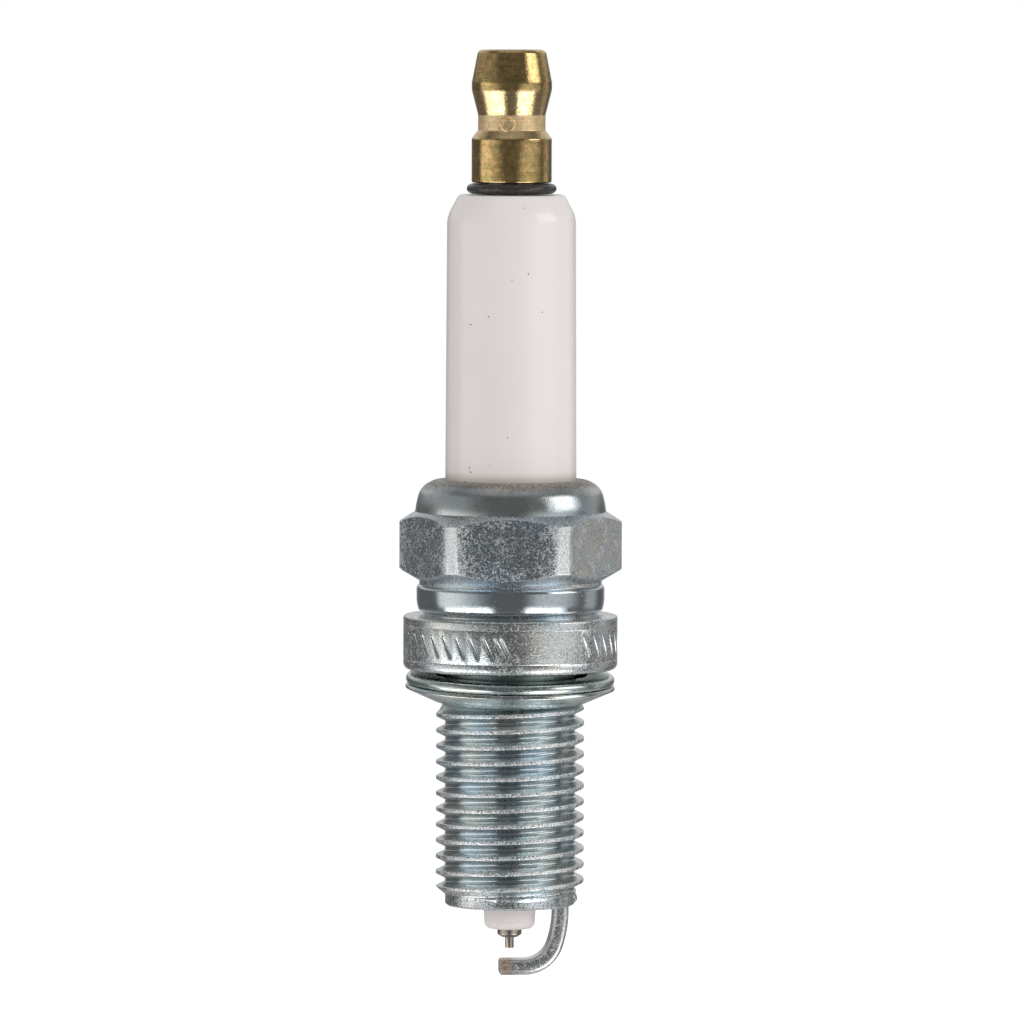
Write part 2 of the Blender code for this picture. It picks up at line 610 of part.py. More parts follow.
def shell(material):
    """Steel body: rolled lip, hexagon, shrink band, flange, neck, thread, plain end and stepped bore."""
    lip_radius = HEAD_RADIUS + FIT
    crimp_radius = UPPER_BORE_RADIUS + CRIMP_BASE_WALL
    band_radius = UPPER_BORE_RADIUS + BAND_WALL
    groove_radius = band_radius - BAND_GROOVE_DEPTH
    flange_radius = FLANGE_DIAMETER / 2
    seat_radius = flange_radius - FLANGE_BEVEL
    shoulder_top = SHOULDER_HEIGHT + UPPER_BORE_RADIUS - LOWER_BORE_RADIUS
    ledge_base = -LEDGE_DEPTH - LEDGE_LENGTH
    end_top = -REACH + END_LENGTH + THREAD_SINK
    body = turn_section("shell", crimp_dome(lip_radius) + section([
        (crimp_radius, CRIMP_BASE - 2 * FIT),
        (groove_radius, HEX_BASE + HEX_HEIGHT / 2),
        (groove_radius, HEX_BASE - BAND_GROOVE_LENGTH),
        (band_radius, HEX_BASE - BAND_GROOVE_LENGTH - BAND_GROOVE_DEPTH, BAND_ROUND),
        (band_radius, FLANGE_HEIGHT + BAND_GROOVE_LENGTH, BAND_ROUND),
        (groove_radius, FLANGE_HEIGHT + BAND_GROOVE_LENGTH / 2),
        (groove_radius, FLANGE_HEIGHT),
        (flange_radius, FLANGE_HEIGHT, FLANGE_ROUND),
        (flange_radius, FLANGE_BEVEL),
        (seat_radius, 0),
        (CORE_BODY_RADIUS, 0),
        (CORE_BODY_RADIUS, end_top + END_RADIUS - CORE_BODY_RADIUS),
        (END_RADIUS, end_top),
        (END_RADIUS, -REACH + END_CHAMFER),
        (END_RADIUS - END_CHAMFER, -REACH),
        (END_BORE_RADIUS, -REACH),
        (END_BORE_RADIUS, ledge_base - (END_BORE_RADIUS - LEDGE_RADIUS)),
        (LEDGE_RADIUS, ledge_base),
        (LEDGE_RADIUS, ledge_height(LEDGE_RADIUS)),
        (LOWER_BORE_RADIUS, ledge_height(LOWER_BORE_RADIUS)),
        (LOWER_BORE_RADIUS, SHOULDER_HEIGHT),
        (UPPER_BORE_RADIUS, shoulder_top),
        (UPPER_BORE_RADIUS, PACKING_TOP),
        (lip_radius, PACKING_TOP),
    ]), material)
    combine(body, hexagon(material), "UNION")
    combine(body, thread(), "UNION")
    return body


def walk(start, moves, steps=4):
    """Follow straight runs and bends from a point, as (place, heading) pairs; headings in radians."""
    place = Vector(start)
    heading = 0.0
    route = [(place.copy(), heading)]
    for kind, length, angle in moves:
        if kind == "run":
            place = place + length * Vector((cos(heading), sin(heading)))
            route.append((place.copy(), heading))
            continue
        side = 1 if angle > 0 else -1
        centre = place + side * length * Vector((-sin(heading), cos(heading)))
        for _ in range(steps):
            heading += radians(angle) / steps
            place = centre - side * length * Vector((-sin(heading), cos(heading)))
            route.append((place.copy(), heading))
    return route


def gasket(material):
    """Dished steel strip folded in three: a flat top leaf, a bead, a middle leaf, a fold and a lip."""
    half = GASKET_STRIP / 2
    dish = radians(GASKET_DISH)
    rise = radians(GASKET_RISE)
    bead_radius = FLANGE_DIAMETER / 2 - GASKET_INSET
    lip_radius = bead_radius + GASKET_LIP_OVERHANG
    bead_centre = bead_radius - GASKET_BEAD_RADIUS - half
    fold_centre = NECK_RADIUS + GASKET_CLEARANCE + half + GASKET_FOLD_RADIUS
    top_leaf = min(GASKET_LEAF_OVERLAP, bead_centre - fold_centre)
    bend_spread = (GASKET_BEAD_RADIUS + GASKET_FOLD_RADIUS) * sin(dish)
    middle_leaf = (bead_centre - fold_centre + bend_spread) / cos(dish)
    lip = (lip_radius - fold_centre - (half + GASKET_FOLD_RADIUS) * sin(rise)) / cos(rise)
    route = walk((bead_centre - top_leaf, -half), [
        ("run", top_leaf, 0),
        ("bend", GASKET_BEAD_RADIUS, GASKET_DISH - 180),
        ("run", middle_leaf, 0),
        ("bend", GASKET_FOLD_RADIUS, 180 - GASKET_DISH + GASKET_RISE),
        ("run", lip, 0),
    ])
    left = [place + half * Vector((-sin(heading), cos(heading))) for place, heading in route]
    right = [place - half * Vector((-sin(heading), cos(heading))) for place, heading in route]
    outline = [tuple(point) for point in left + right[::-1]]
    ring = turn_section("gasket", outline, material)

    # The top leaf touches the flange on its high side and hangs clear of it on the other
    ring.rotation_euler = (radians(GASKET_TILT), 0, radians(GASKET_TURN))
    axis = bpy.data.objects.new("gasket_axis", None)
    axis.location = (0, 0, -FIT - bead_radius * sin(radians(GASKET_TILT)))
    bpy.context.scene.collection.objects.link(axis)
    ring.parent = axis
    return ring


def last_face(result):
    """The face that a spin or an extrusion ends on."""
    geometry = result.get("geom_last") or result["geom"]
    return next(item for item in geometry if isinstance(item, bmesh.types.BMFace))


def carry(mesh, face, offset):
    """Extrude a face along a straight run."""
    grown = last_face(bmesh.ops.extrude_face_region(mesh, geom=[face]))
    bmesh.ops.translate(mesh, vec=offset, verts=grown.verts)
    return grown


def ground_electrode(material):
    """Flat bar carried down from its weld, leaned in, bent square and run under the firing tip."""
    start_x = END_BORE_RADIUS + BAR_INSET + BAR_THICKNESS / 2
    weld = -REACH - FIT
    arm = TIP_END - SPARK_GAP - BAR_THICKNESS / 2
    lean = radians(BAR_LEAN)
    lean_drop = BAR_LEAN_RADIUS * sin(lean)
    bend_drop = BAR_BEND_RADIUS * (1 - sin(lean))
    leg = weld - arm - lean_drop - bend_drop

    mesh = bmesh.new()
    bmesh.ops.create_grid(mesh, x_segments=1, y_segments=1, size=0.5)
    bmesh.ops.scale(mesh, vec=(BAR_THICKNESS, BAR_WIDTH, 1), verts=mesh.verts)
    bmesh.ops.bevel(mesh, geom=mesh.verts, affect="VERTICES", offset=BAR_ROUND, segments=3,
                    profile=0.5, material=-1)
    bmesh.ops.translate(mesh, vec=(start_x, 0, weld), verts=mesh.verts)
    leg_end = carry(mesh, next(iter(mesh.faces)), (0, 0, -leg))

    lean_centre = Vector((start_x - BAR_LEAN_RADIUS, 0, weld - leg))
    lean_end = last_face(bmesh.ops.spin(mesh, geom=[leg_end], cent=lean_centre, axis=(0, 1, 0),
                                        angle=lean, steps=2))
    spoke = Vector((cos(lean), 0, -sin(lean)))
    bend_centre = lean_centre + spoke * (BAR_LEAN_RADIUS - BAR_BEND_RADIUS)
    bend_end = last_face(bmesh.ops.spin(mesh, geom=[lean_end], cent=bend_centre, axis=(0, 1, 0),
                                        angle=pi / 2 - lean, steps=8))
    carry(mesh, bend_end, (-bend_centre.x - BAR_OVERHANG, 0, 0))
    bmesh.ops.delete(mesh, geom=[leg_end, lean_end, bend_end], context="FACES_ONLY")
    bar = make_object("ground_electrode", mesh, material)
    bar.rotation_euler = (0, 0, radians(BAR_TURN))
    return bar


def main():
    """Build every piece of the plug."""
    clear_scene()
    zinc = finish("zinc_plate", (0.62, 0.65, 0.67), 0.32, 1.0)
    steel = finish("packing_steel", (0.45, 0.45, 0.46), 0.45, 1.0)
    nickel = finish("nickel", (0.50, 0.46, 0.42), 0.4, 1.0)
    glass = finish("conducting_glass", (0.16, 0.15, 0.15), 0.4, 0.0)

    terminal_nut(finish("brass", (0.78, 0.58, 0.24), 0.3, 1.0))
    terminal_stud(finish("stud_steel", (0.55, 0.55, 0.56), 0.35, 1.0))
    o_ring(finish("rubber", (0.06, 0.055, 0.06), 0.6, 0.0))
    insulator(finish("glazed_alumina", (0.86, 0.83, 0.82), 0.15, 0.0))
    upper_glass_seal(glass)
    resistor(finish("resistor_mix", (0.10, 0.10, 0.10), 0.7, 0.0))
    lower_glass_seal(glass)
    centre_electrode(nickel)
    electrode_copper_core(finish("copper", (0.75, 0.38, 0.22), 0.35, 1.0))
    firing_tip(finish("iridium", (0.72, 0.66, 0.60), 0.35, 1.0))
    packing_ring("upper_packing_ring", PACKING_TOP, steel)
    talc_packing(finish("talc", (0.80, 0.79, 0.76), 0.9, 0.0))
    packing_ring("lower_packing_ring", TALC_BASE, steel)
    seat_washer(finish("washer_steel", (0.50, 0.50, 0.50), 0.4, 1.0))
    shell(zinc)
    gasket(finish("gasket_steel", (0.60, 0.64, 0.63), 0.28, 1.0))
    ground_electrode(finish("plated_nickel", (0.58, 0.60, 0.61), 0.36, 1.0))


main()
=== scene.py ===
# %% [markdown]
# # Dressing a spark plug
# The part arrives as plain solids that already have the right sizes and joints. This lesson gives
# them their looks: the rolled thread, the knurled flange, the folded gasket, and metal that looks
# turned, plated and handled. The solids are loaded first, because every new piece is fitted to them.

# %% Load the solids
import json
from math import atan2, cos, hypot, pi, radians, sin

import bmesh
import bpy
from mathutils import Matrix, Vector, noise

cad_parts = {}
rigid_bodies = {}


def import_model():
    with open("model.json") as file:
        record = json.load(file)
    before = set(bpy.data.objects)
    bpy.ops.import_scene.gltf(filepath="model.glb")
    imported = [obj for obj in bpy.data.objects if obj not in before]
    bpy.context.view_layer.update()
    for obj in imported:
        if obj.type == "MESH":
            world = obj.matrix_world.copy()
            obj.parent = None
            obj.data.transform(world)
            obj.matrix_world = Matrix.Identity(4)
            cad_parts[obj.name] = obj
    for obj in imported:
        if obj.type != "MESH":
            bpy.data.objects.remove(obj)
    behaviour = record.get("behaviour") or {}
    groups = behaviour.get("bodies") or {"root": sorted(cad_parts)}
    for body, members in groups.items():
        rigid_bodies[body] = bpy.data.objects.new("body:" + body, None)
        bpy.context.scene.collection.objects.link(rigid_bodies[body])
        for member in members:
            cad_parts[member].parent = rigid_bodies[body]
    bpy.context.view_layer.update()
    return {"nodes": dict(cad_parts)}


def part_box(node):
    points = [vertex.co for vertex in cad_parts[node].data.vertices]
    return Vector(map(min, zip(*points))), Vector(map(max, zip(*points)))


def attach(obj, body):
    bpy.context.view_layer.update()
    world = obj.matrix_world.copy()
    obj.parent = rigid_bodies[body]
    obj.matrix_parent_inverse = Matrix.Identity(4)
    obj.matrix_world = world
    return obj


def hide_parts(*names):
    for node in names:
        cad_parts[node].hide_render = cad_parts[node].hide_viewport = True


MM = 0.001
TINY = 0.0005 * MM

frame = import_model()
print("solids loaded:", ", ".join(sorted(frame["nodes"])))

# %% [markdown]
# ## Camera
# The photograph was taken with a long lens, a little above the terminal, so the rings of the plug
# open into thin ellipses that get rounder towards the firing end. The focal length is counted in
# pixels of the picture, which makes it easy to measure: 12.6 pixels to a millimetre at 740 mm away.

# %% Camera
PICTURE_WIDTH = 1024
FOCAL_PIXELS = 9352
CAMERA_DISTANCE = 740 * MM
CAMERA_HEIGHT = 58.4 * MM
CAMERA_AZIMUTH = radians(1.5)
CAMERA_ROLL = radians(0.165)
AIM_HEIGHT = 12.4 * MM
SENSOR = 36.0
SHIFT_PIXELS = (1.3, 0.7)

eye = Vector((CAMERA_DISTANCE * sin(CAMERA_AZIMUTH), -CAMERA_DISTANCE * cos(CAMERA_AZIMUTH),
              CAMERA_HEIGHT))
aim = Vector((0, 0, AIM_HEIGHT))
camera_data = bpy.data.cameras.new("camera")
camera_data.sensor_width = SENSOR
camera_data.lens = FOCAL_PIXELS * SENSOR / PICTURE_WIDTH
camera_data.shift_x, camera_data.shift_y = (pixels / PICTURE_WIDTH for pixels in SHIFT_PIXELS)
camera = bpy.data.objects.new("camera", camera_data)
look = (aim - eye).to_track_quat("-Z", "Y").to_matrix().to_4x4()
camera.matrix_world = Matrix.Translation(eye) @ look @ Matrix.Rotation(CAMERA_ROLL, 4, "Z")
bpy.context.scene.collection.objects.link(camera)
bpy.context.scene.camera = camera
bpy.context.scene.view_settings.view_transform = "Standard"
print("lens of", round(camera_data.lens), "mm at", round(CAMERA_DISTANCE / MM), "mm")

# %% [markdown]
# ## Helpers for shapes
# Nearly every piece was turned on a lathe, so one helper draws half of its outline, rounds the
# corners with a vertex bevel, and spins the outline about the axis. A second helper cuts or joins
# with a Boolean and keeps the result, so that no cutter stays in the scene.

# %% Turning, cutting and placing
def outline(corners, closed=True):
    """A chain of edges in the XZ plane; each corner is (radius, height) or with a rounding, in mm."""
    mesh = bmesh.new()
    points = [mesh.verts.new((corner[0] * MM, 0, corner[1] * MM)) for corner in corners]
    for pair in zip(points, points[1:]):
        mesh.edges.new(pair)
    if closed and (corners[0][0] > 0 or corners[-1][0] > 0):
        mesh.edges.new((points[-1], points[0]))
    for point, corner in zip(points, corners):
        if len(corner) == 3:
            bmesh.ops.bevel(mesh, geom=[point], affect="VERTICES", offset=corner[2] * MM,
                            segments=6, profile=0.5, material=-1)
    return mesh


def spin_round(mesh, facets):
    """Turn every edge of a flat outline about Z into a closed surface."""
    bmesh.ops.spin(mesh, geom=list(mesh.verts) + list(mesh.edges), cent=(0, 0, 0), axis=(0, 0, 1),
                   angle=2 * pi, steps=facets, use_merge=True)
    bmesh.ops.remove_doubles(mesh, verts=mesh.verts, dist=TINY)
    bmesh.ops.recalc_face_normals(mesh, faces=mesh.faces)
    return mesh


def turn(corners, facets=160):
    """A turned solid from half of its section."""
    return spin_round(outline(corners), facets)


def make(name, mesh, crisp=32):
    """An object at the origin, smooth but for edges sharper than the crisp angle."""
    data = bpy.data.meshes.new(name)
    mesh.to_mesh(data)
    mesh.free()
    data.shade_smooth()
    data.set_sharp_from_angle(angle=radians(crisp))
    piece = bpy.data.objects.new(name, data)
    bpy.context.scene.collection.objects.link(piece)
    return piece


def cut(piece, tool, operation, crisp=32):
    """Apply a Boolean to a piece and throw the tool away."""
    modifier = piece.modifiers.new("cut", "BOOLEAN")
    modifier.operation = operation
    modifier.solver = "EXACT"
    modifier.object = tool
    bpy.context.view_layer.update()
    shaped = piece.evaluated_get(bpy.context.evaluated_depsgraph_get())
    data = bpy.data.meshes.new_from_object(shaped)
    piece.modifiers.clear()
    piece.data = data
    data.shade_smooth()
    data.set_sharp_from_angle(angle=radians(crisp))
    bpy.data.objects.remove(tool, do_unlink=True)


def fit(piece, slot, body="plug", node=None):
    """Let a piece ride on a body and stand for a CAD node. The slot is not used."""
    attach(piece, body)
    if node:
        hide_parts(node)
    print(piece.name, "has", len(piece.data.polygons), "faces")


def bottom_and_top(node):
    """Lowest and highest point of a CAD node, in mm."""
    low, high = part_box(node)
    return low[2] / MM, high[2] / MM


shape_helpers = (outline, spin_round, turn, make, cut, fit, bottom_and_top)
print("shape helpers:", ", ".join(helper.__name__ for helper in shape_helpers))

# %% [markdown]
# ## Terminal nut
# The brass terminal is turned: a tapered nose, a narrow land, a flare down to a neck, and a plain
# base. One punch mark on the neck locks it on its stud. The punch left a flat-bottomed crater with
# a lip of metal pushed up round it, so the lip is a small bent ring and the crater a Boolean cut.

# %% Terminal nut
base, top = bottom_and_top("terminal_nut")
TERMINAL_RADIUS = 3.175
NECK_RADIUS = 2.67
NECK_MIDDLE = top - 5.82
STUD_HOLE = 2.05
terminal = make("brass_terminal", turn([
    (0, top), (NECK_RADIUS, top, 0.32), (TERMINAL_RADIUS, top - 2.58, 0.08),
    (TERMINAL_RADIUS, top - 3.18, 0.14), (NECK_RADIUS, top - 5.16, 0.1), (NECK_RADIUS, top - 6.36, 0.05),
    (TERMINAL_RADIUS, top - 7.03, 0.08), (TERMINAL_RADIUS, base, 0.14), (STUD_HOLE, base),
    (STUD_HOLE, base + 6.6), (0, base + 7.1),
]))

PUNCH_RADIUS = 0.5
PUNCH_ANGLE = radians(-5.5)
PUNCH_FACETS = 40
RIM_RADIUS = 0.085
punch_place = (Matrix.Rotation(PUNCH_ANGLE, 4, "Z")
               @ Matrix.Translation((0, -NECK_RADIUS * MM, NECK_MIDDLE * MM))
               @ Matrix.Rotation(radians(90), 4, "X"))


def bend_to_neck(mesh):
    """Push each point back by the fall of the round neck at its side step."""
    for vert in mesh.verts:
        aside = vert.co.x / MM
        vert.co.z -= (NECK_RADIUS - (NECK_RADIUS ** 2 - aside ** 2) ** 0.5) * MM


rim = bmesh.new()
bmesh.ops.create_circle(rim, segments=10, radius=RIM_RADIUS * MM)
bmesh.ops.rotate(rim, matrix=Matrix.Rotation(radians(90), 3, "X"), verts=rim.verts)
bmesh.ops.translate(rim, vec=((PUNCH_RADIUS + 0.05) * MM, 0, -0.02 * MM), verts=rim.verts)
spin_round(rim, PUNCH_FACETS)
bend_to_neck(rim)
bmesh.ops.transform(rim, matrix=punch_place, verts=rim.verts)
cut(terminal, make("rim_tool", rim), "UNION")

crater = turn([
    (0, 0.4), (PUNCH_RADIUS + 0.03, 0.4), (PUNCH_RADIUS - 0.03, -0.02), (0.38, -0.24, 0.06), (0, -0.26),
], PUNCH_FACETS)
bmesh.ops.transform(crater, matrix=punch_place, verts=crater.verts)
cut(terminal, make("crater_tool", crater), "DIFFERENCE")
fit(terminal, "brass", node="terminal_nut")

# %% [markdown]
# ## Rubber ring
# A black ring is squeezed between the terminal and the ceramic. Squeezing makes its round section
# an oval, which is a circle scaled in height before it is spun.

# %% Rubber ring
low, high = bottom_and_top("o_ring")
RING_MIDDLE_RADIUS = 3.06
RING_WIDTH = 1.0
ring = bmesh.new()
bmesh.ops.create_circle(ring, segments=28, radius=0.5 * MM)
bmesh.ops.rotate(ring, matrix=Matrix.Rotation(radians(90), 3, "X"), verts=ring.verts)
bmesh.ops.scale(ring, vec=(RING_WIDTH, 1, high - low), verts=ring.verts)
bmesh.ops.translate(ring, vec=(RING_MIDDLE_RADIUS * MM, 0, (low + high) / 2 * MM), verts=ring.verts)
rubber_ring = make("rubber_ring", spin_round(ring, 120))
fit(rubber_ring, "rubber", node="o_ring")

# %% [markdown]
# ## Insulator
# The ceramic is pressed, ground and glazed. Its crown slopes in to the terminal with a soft edge,
# the barrel swells very slightly towards the shell, and the bare nose pokes out at the firing end.
# The part inside the shell follows the solid, so that a cut through the plug still makes sense.

# %% Insulator
nose_end, insulator_top = bottom_and_top("insulator")
SHELL_TOP = bottom_and_top("shell")[1]
ceramic = make("ceramic_insulator", turn([
    (1.95, insulator_top), (4.18, insulator_top, 0.2), (5.1, insulator_top - 1.75, 0.5),
    (5.2, SHELL_TOP), (5.2, 10.38), (5.66, 10.38), (5.85, 10.19), (5.85, 2.9), (3.8, 0.85),
    (3.8, -8.19), (2.6, -8.89), (1.98, nose_end, 0.5), (1.01, nose_end), (1.01, -6.44), (1.95, -5.5),
]), crisp=50)
fit(ceramic, "glazed_alumina", node="insulator")

# %% [markdown]
# ## Shell head
# The head of the steel shell carries a lip rolled over the ceramic, a spanner hexagon, a bright
# shrink band and the flange. The hexagon is a chamfered turned ring trimmed by a six-sided bar, as
# in the machine shop: the ring's chamfers leave the arcs on the flats. Such bars are drawn through a
# die, so their corners are rounded first, and these leave the soft upright lands between the flats.
# A small bevel then breaks every sharp edge, because worn edges catch the light.

# %% Hexagon
CORNER_RADIUS = 8.82
HALF_FLATS = 7.95
BAR_RADIUS = HALF_FLATS / cos(pi / 6)
BAR_LENGTH = 20
BAR_ROUNDING = 1.1
EDGE_ROUNDING = 0.08
SHARP_ANGLE = radians(25)
HEX_ROOT = 6.6
HEX_TOP = 12.54
HEX_BASE = 6.95
ROUND_FACETS = 240
hexagon = make("hexagon", turn([
    (HEX_ROOT, HEX_TOP + 0.61), (CORNER_RADIUS, HEX_TOP - 0.8),
    (CORNER_RADIUS, HEX_BASE + 1.04), (HEX_ROOT, HEX_BASE - 0.29),
], ROUND_FACETS))
bar = bmesh.new()
bmesh.ops.create_cone(bar, cap_ends=True, segments=6, radius1=BAR_RADIUS * MM,
                      radius2=BAR_RADIUS * MM, depth=BAR_LENGTH * MM)
uprights = [edge for edge in bar.edges if edge.calc_length() > 0.75 * BAR_LENGTH * MM]
bmesh.ops.bevel(bar, geom=uprights, affect="EDGES", offset=BAR_ROUNDING * MM, segments=12, profile=0.5,
                material=-1)
bmesh.ops.transform(bar, verts=bar.verts, matrix=Matrix.Translation((0, 0, BAR_LENGTH / 2 * MM))
                    @ Matrix.Rotation(radians(30), 4, "Z"))
cut(hexagon, make("bar_tool", bar), "INTERSECT", crisp=12)
trimmed = bmesh.new()
trimmed.from_mesh(hexagon.data)
sharp_edges = [edge for edge in trimmed.edges if edge.calc_face_angle(0.0) > SHARP_ANGLE
               and min(hypot(vert.co.x, vert.co.y) for vert in edge.verts) > 7 * MM]
bmesh.ops.bevel(trimmed, geom=sharp_edges, affect="EDGES", offset=EDGE_ROUNDING * MM, segments=3, profile=0.5,
                material=-1)
trimmed.to_mesh(hexagon.data)
trimmed.free()
print("rounded edges on the hexagon:", len(sharp_edges))
print("hexagon is", round(2 * HALF_FLATS, 2), "mm across its flats")

# %% [markdown]
# The rest of the head is one turned section. Two shallow lines are turned into the flange, one
# under its top edge and one above its bevel. Where the lip rolls over, three corners with generous
# rounding make the dome.

# %% Lip, band and flange
FLANGE_RADIUS = 8.5
FLANGE_TOP = 4.3
BAND_RADIUS = 7.46
LINE_DEPTH = 0.035
head = make("shell_head", turn([
    (5.25, SHELL_TOP - 0.05), (5.35, SHELL_TOP), (6.1, SHELL_TOP - 0.02, 0.25), (7.1, 14.45, 0.5),
    (7.44, 13.5, 0.5), (7.58, HEX_TOP), (7.24, 9.7), (7.24, HEX_BASE - 0.22, 0.05),
    (BAND_RADIUS, HEX_BASE - 0.36, 0.2), (BAND_RADIUS, FLANGE_TOP + 0.95, 0.4), (7.3, FLANGE_TOP + 0.42, 0.2),
    (6.95, FLANGE_TOP + 0.18, 0.05), (6.95, FLANGE_TOP, 0.05), (FLANGE_RADIUS, FLANGE_TOP, 0.22),
    (FLANGE_RADIUS, 3.62), (FLANGE_RADIUS - LINE_DEPTH, 3.57), (FLANGE_RADIUS, 3.5),
    (FLANGE_RADIUS, 0.95), (FLANGE_RADIUS - LINE_DEPTH, 0.88), (FLANGE_RADIUS, 0.8),
    (FLANGE_RADIUS, 0, 0.5), (5.15, 0), (5.15, 0.5), (3.9, 0.5), (3.9, 0.55), (5.95, 2.6),
    (5.95, 14.13), (5.25, 14.13),
], ROUND_FACETS))
print("head turned with", len(head.data.polygons), "faces")

# %% [markdown]
# The flange is marked all round by slanted grooves that a knurling wheel pressed in. Each groove is
# cut by a capsule: a small sphere whose upper half is lifted, leaned over and pushed a little way
# into the flange. A stretch at the front is plain, and next to it, where the wheel came round to its
# start, the last grooves lie close together. The hexagon is joined on last, and weighted normals keep
# its flats flat next to their rounded edges.

# %% Flange grooves
GROOVES = 44
GROOVE_LENGTH = 2.05
GROOVE_RADIUS = 0.21
GROOVE_DEPTH = 0.19
GROOVE_LEAN = radians(-26)
GROOVE_MIDDLE = 2.16
FIRST_GROOVE = radians(-10.3)
PLAIN_FROM = radians(-4)
PLAIN_TO = radians(45)
LAST_GROOVES = [radians(-4), radians(-0.8)]

wheel = bmesh.new()
groove_angles = [FIRST_GROOVE + 2 * pi * index / GROOVES for index in range(GROOVES)]
groove_angles = [angle for angle in groove_angles if not PLAIN_FROM < angle < PLAIN_TO]
groove_angles += LAST_GROOVES
groove_out = FLANGE_RADIUS + GROOVE_RADIUS - GROOVE_DEPTH
for angle in groove_angles:
    capsule = bmesh.ops.create_uvsphere(wheel, u_segments=12, v_segments=8,
                                        radius=GROOVE_RADIUS * MM)["verts"]
    for side in (1, -1):
        half = [vert for vert in capsule if vert.co.z * side > TINY]
        bmesh.ops.translate(wheel, vec=(0, 0, side * (GROOVE_LENGTH / 2 - GROOVE_RADIUS) * MM), verts=half)
    place = (Matrix.Rotation(angle, 4, "Z")
             @ Matrix.Translation((0, -groove_out * MM, GROOVE_MIDDLE * MM))
             @ Matrix.Rotation(GROOVE_LEAN, 4, "Y"))
    bmesh.ops.transform(wheel, matrix=place, verts=capsule)
cut(head, make("groove_tool", wheel), "DIFFERENCE")
flange_reach = max(hypot(vert.co.x, vert.co.y) for vert in head.data.vertices
                   if vert.co.z < FLANGE_TOP * MM)
print("flange reaches", round(flange_reach / MM, 3), "mm after grooving")
cut(head, hexagon, "UNION")
head.modifiers.new("flat_faces", "WEIGHTED_NORMAL").keep_sharp = True
fit(head, "zinc_plate", node="shell")

# %% [markdown]
# ## Thread
# The thread is a real helix. One pitch of its profile is spun about the axis, and each step is also
# lifted a little, so that after a full turn the profile's foot lands on its own head and the two
# are merged. A cone then limits the radius at both ends, as the die's run-out does, and flat cuts
# trim the sleeve. Under the neck the first turn grows out of a soft fillet, which fills the groove
# above its crest and fades out at the back, so that the gasket can spin clear of it. The bore is
# grown from the lower edge with extrusions.

# %% Thread
PITCH = 1.25
CREST_RADIUS = 5.88
ROOT_RADIUS = 5.16
STEPS = 120
TURNS = 17
TURNS_BELOW = 13
CREST_AT_RIGHT = -3.03
REACH = -bottom_and_top("shell")[0]
END_RADIUS = 5.14
END_CHAMFER = 0.16
NECK_OUTSIDE = 5.2
NECK_TOP = 0.45
NECK_END = -2.48
FILLET_TOP = -2.1
FILLET_POWER = 1.7
LIMITS = [(1.0, NECK_OUTSIDE), (NECK_END, NECK_OUTSIDE), (-3.1, CREST_RADIUS), (-17.3, CREST_RADIUS),
          (-17.95, END_RADIUS), (END_CHAMFER - REACH, END_RADIUS), (-REACH, END_RADIUS - END_CHAMFER)]

tooth = outline([(ROOT_RADIUS, -PITCH / 2), (ROOT_RADIUS, -0.49, 0.14), (CREST_RADIUS, -0.14, 0.06),
                 (CREST_RADIUS, 0.14, 0.06), (ROOT_RADIUS, 0.49, 0.14), (ROOT_RADIUS, PITCH / 2)], closed=False)
bmesh.ops.translate(tooth, vec=(0, 0, (CREST_AT_RIGHT - TURNS_BELOW * PITCH) * MM), verts=tooth.verts)
bmesh.ops.spin(tooth, geom=list(tooth.verts) + list(tooth.edges), cent=(0, 0, 0), axis=(0, 0, 1),
               angle=2 * pi, steps=STEPS, dvec=(0, 0, PITCH * MM / STEPS))
one_turn = list(tooth.verts) + list(tooth.edges) + list(tooth.faces)
for number in range(1, TURNS):
    copy = bmesh.ops.duplicate(tooth, geom=one_turn)["geom"]
    lifted = [item for item in copy if isinstance(item, bmesh.types.BMVert)]
    bmesh.ops.translate(tooth, vec=(0, 0, number * PITCH * MM), verts=lifted)
bmesh.ops.remove_doubles(tooth, verts=tooth.verts, dist=0.004 * MM)


def limit_at(height):
    """Largest radius that the run-out cones allow at a height, in mm."""
    for (upper, upper_radius), (lower, lower_radius) in zip(LIMITS, LIMITS[1:]):
        if lower <= height <= upper:
            return lower_radius + (upper_radius - lower_radius) * (height - lower) / (upper - lower)
    return END_RADIUS


for height, direction in ((NECK_TOP, 1), (END_CHAMFER - REACH, -1)):
    everything = list(tooth.verts) + list(tooth.edges) + list(tooth.faces)
    bmesh.ops.bisect_plane(tooth, geom=everything, dist=TINY, plane_co=(0, 0, height * MM),
                           plane_no=(0, 0, direction), clear_outer=True)


def fillet_at(point):
    """Radius of the fillet between the neck and the first crest, in mm."""
    angle = atan2(point.y, point.x)
    if angle > pi / 2:
        angle -= 2 * pi
    crest = CREST_AT_RIGHT + PITCH * angle / (2 * pi)
    share = (FILLET_TOP - point.z / MM) / (FILLET_TOP - crest)
    if not 0 < share < 1:
        return NECK_OUTSIDE if share <= 0 else 0.0
    starting = min(1, max(0, (angle + radians(265)) / radians(85)))
    ending = min(1, max(0, (radians(80) - angle) / radians(70)))
    return NECK_OUTSIDE + (CREST_RADIUS - NECK_OUTSIDE) * min(starting, ending) * share ** FILLET_POWER


for vert in tooth.verts:
    radius = hypot(vert.co.x, vert.co.y)
    wanted = NECK_OUTSIDE if vert.co.z > NECK_END * MM else min(radius / MM, limit_at(vert.co.z / MM))
    wanted = max(wanted, fillet_at(vert.co))
    vert.co.x *= wanted * MM / radius
    vert.co.y *= wanted * MM / radius


def rim_at(mesh, height):
    """Open edges at a height, in mm."""
    return [edge for edge in mesh.edges if edge.is_boundary
            and all(abs(vert.co.z - height * MM) < 0.002 * MM for vert in edge.verts)]


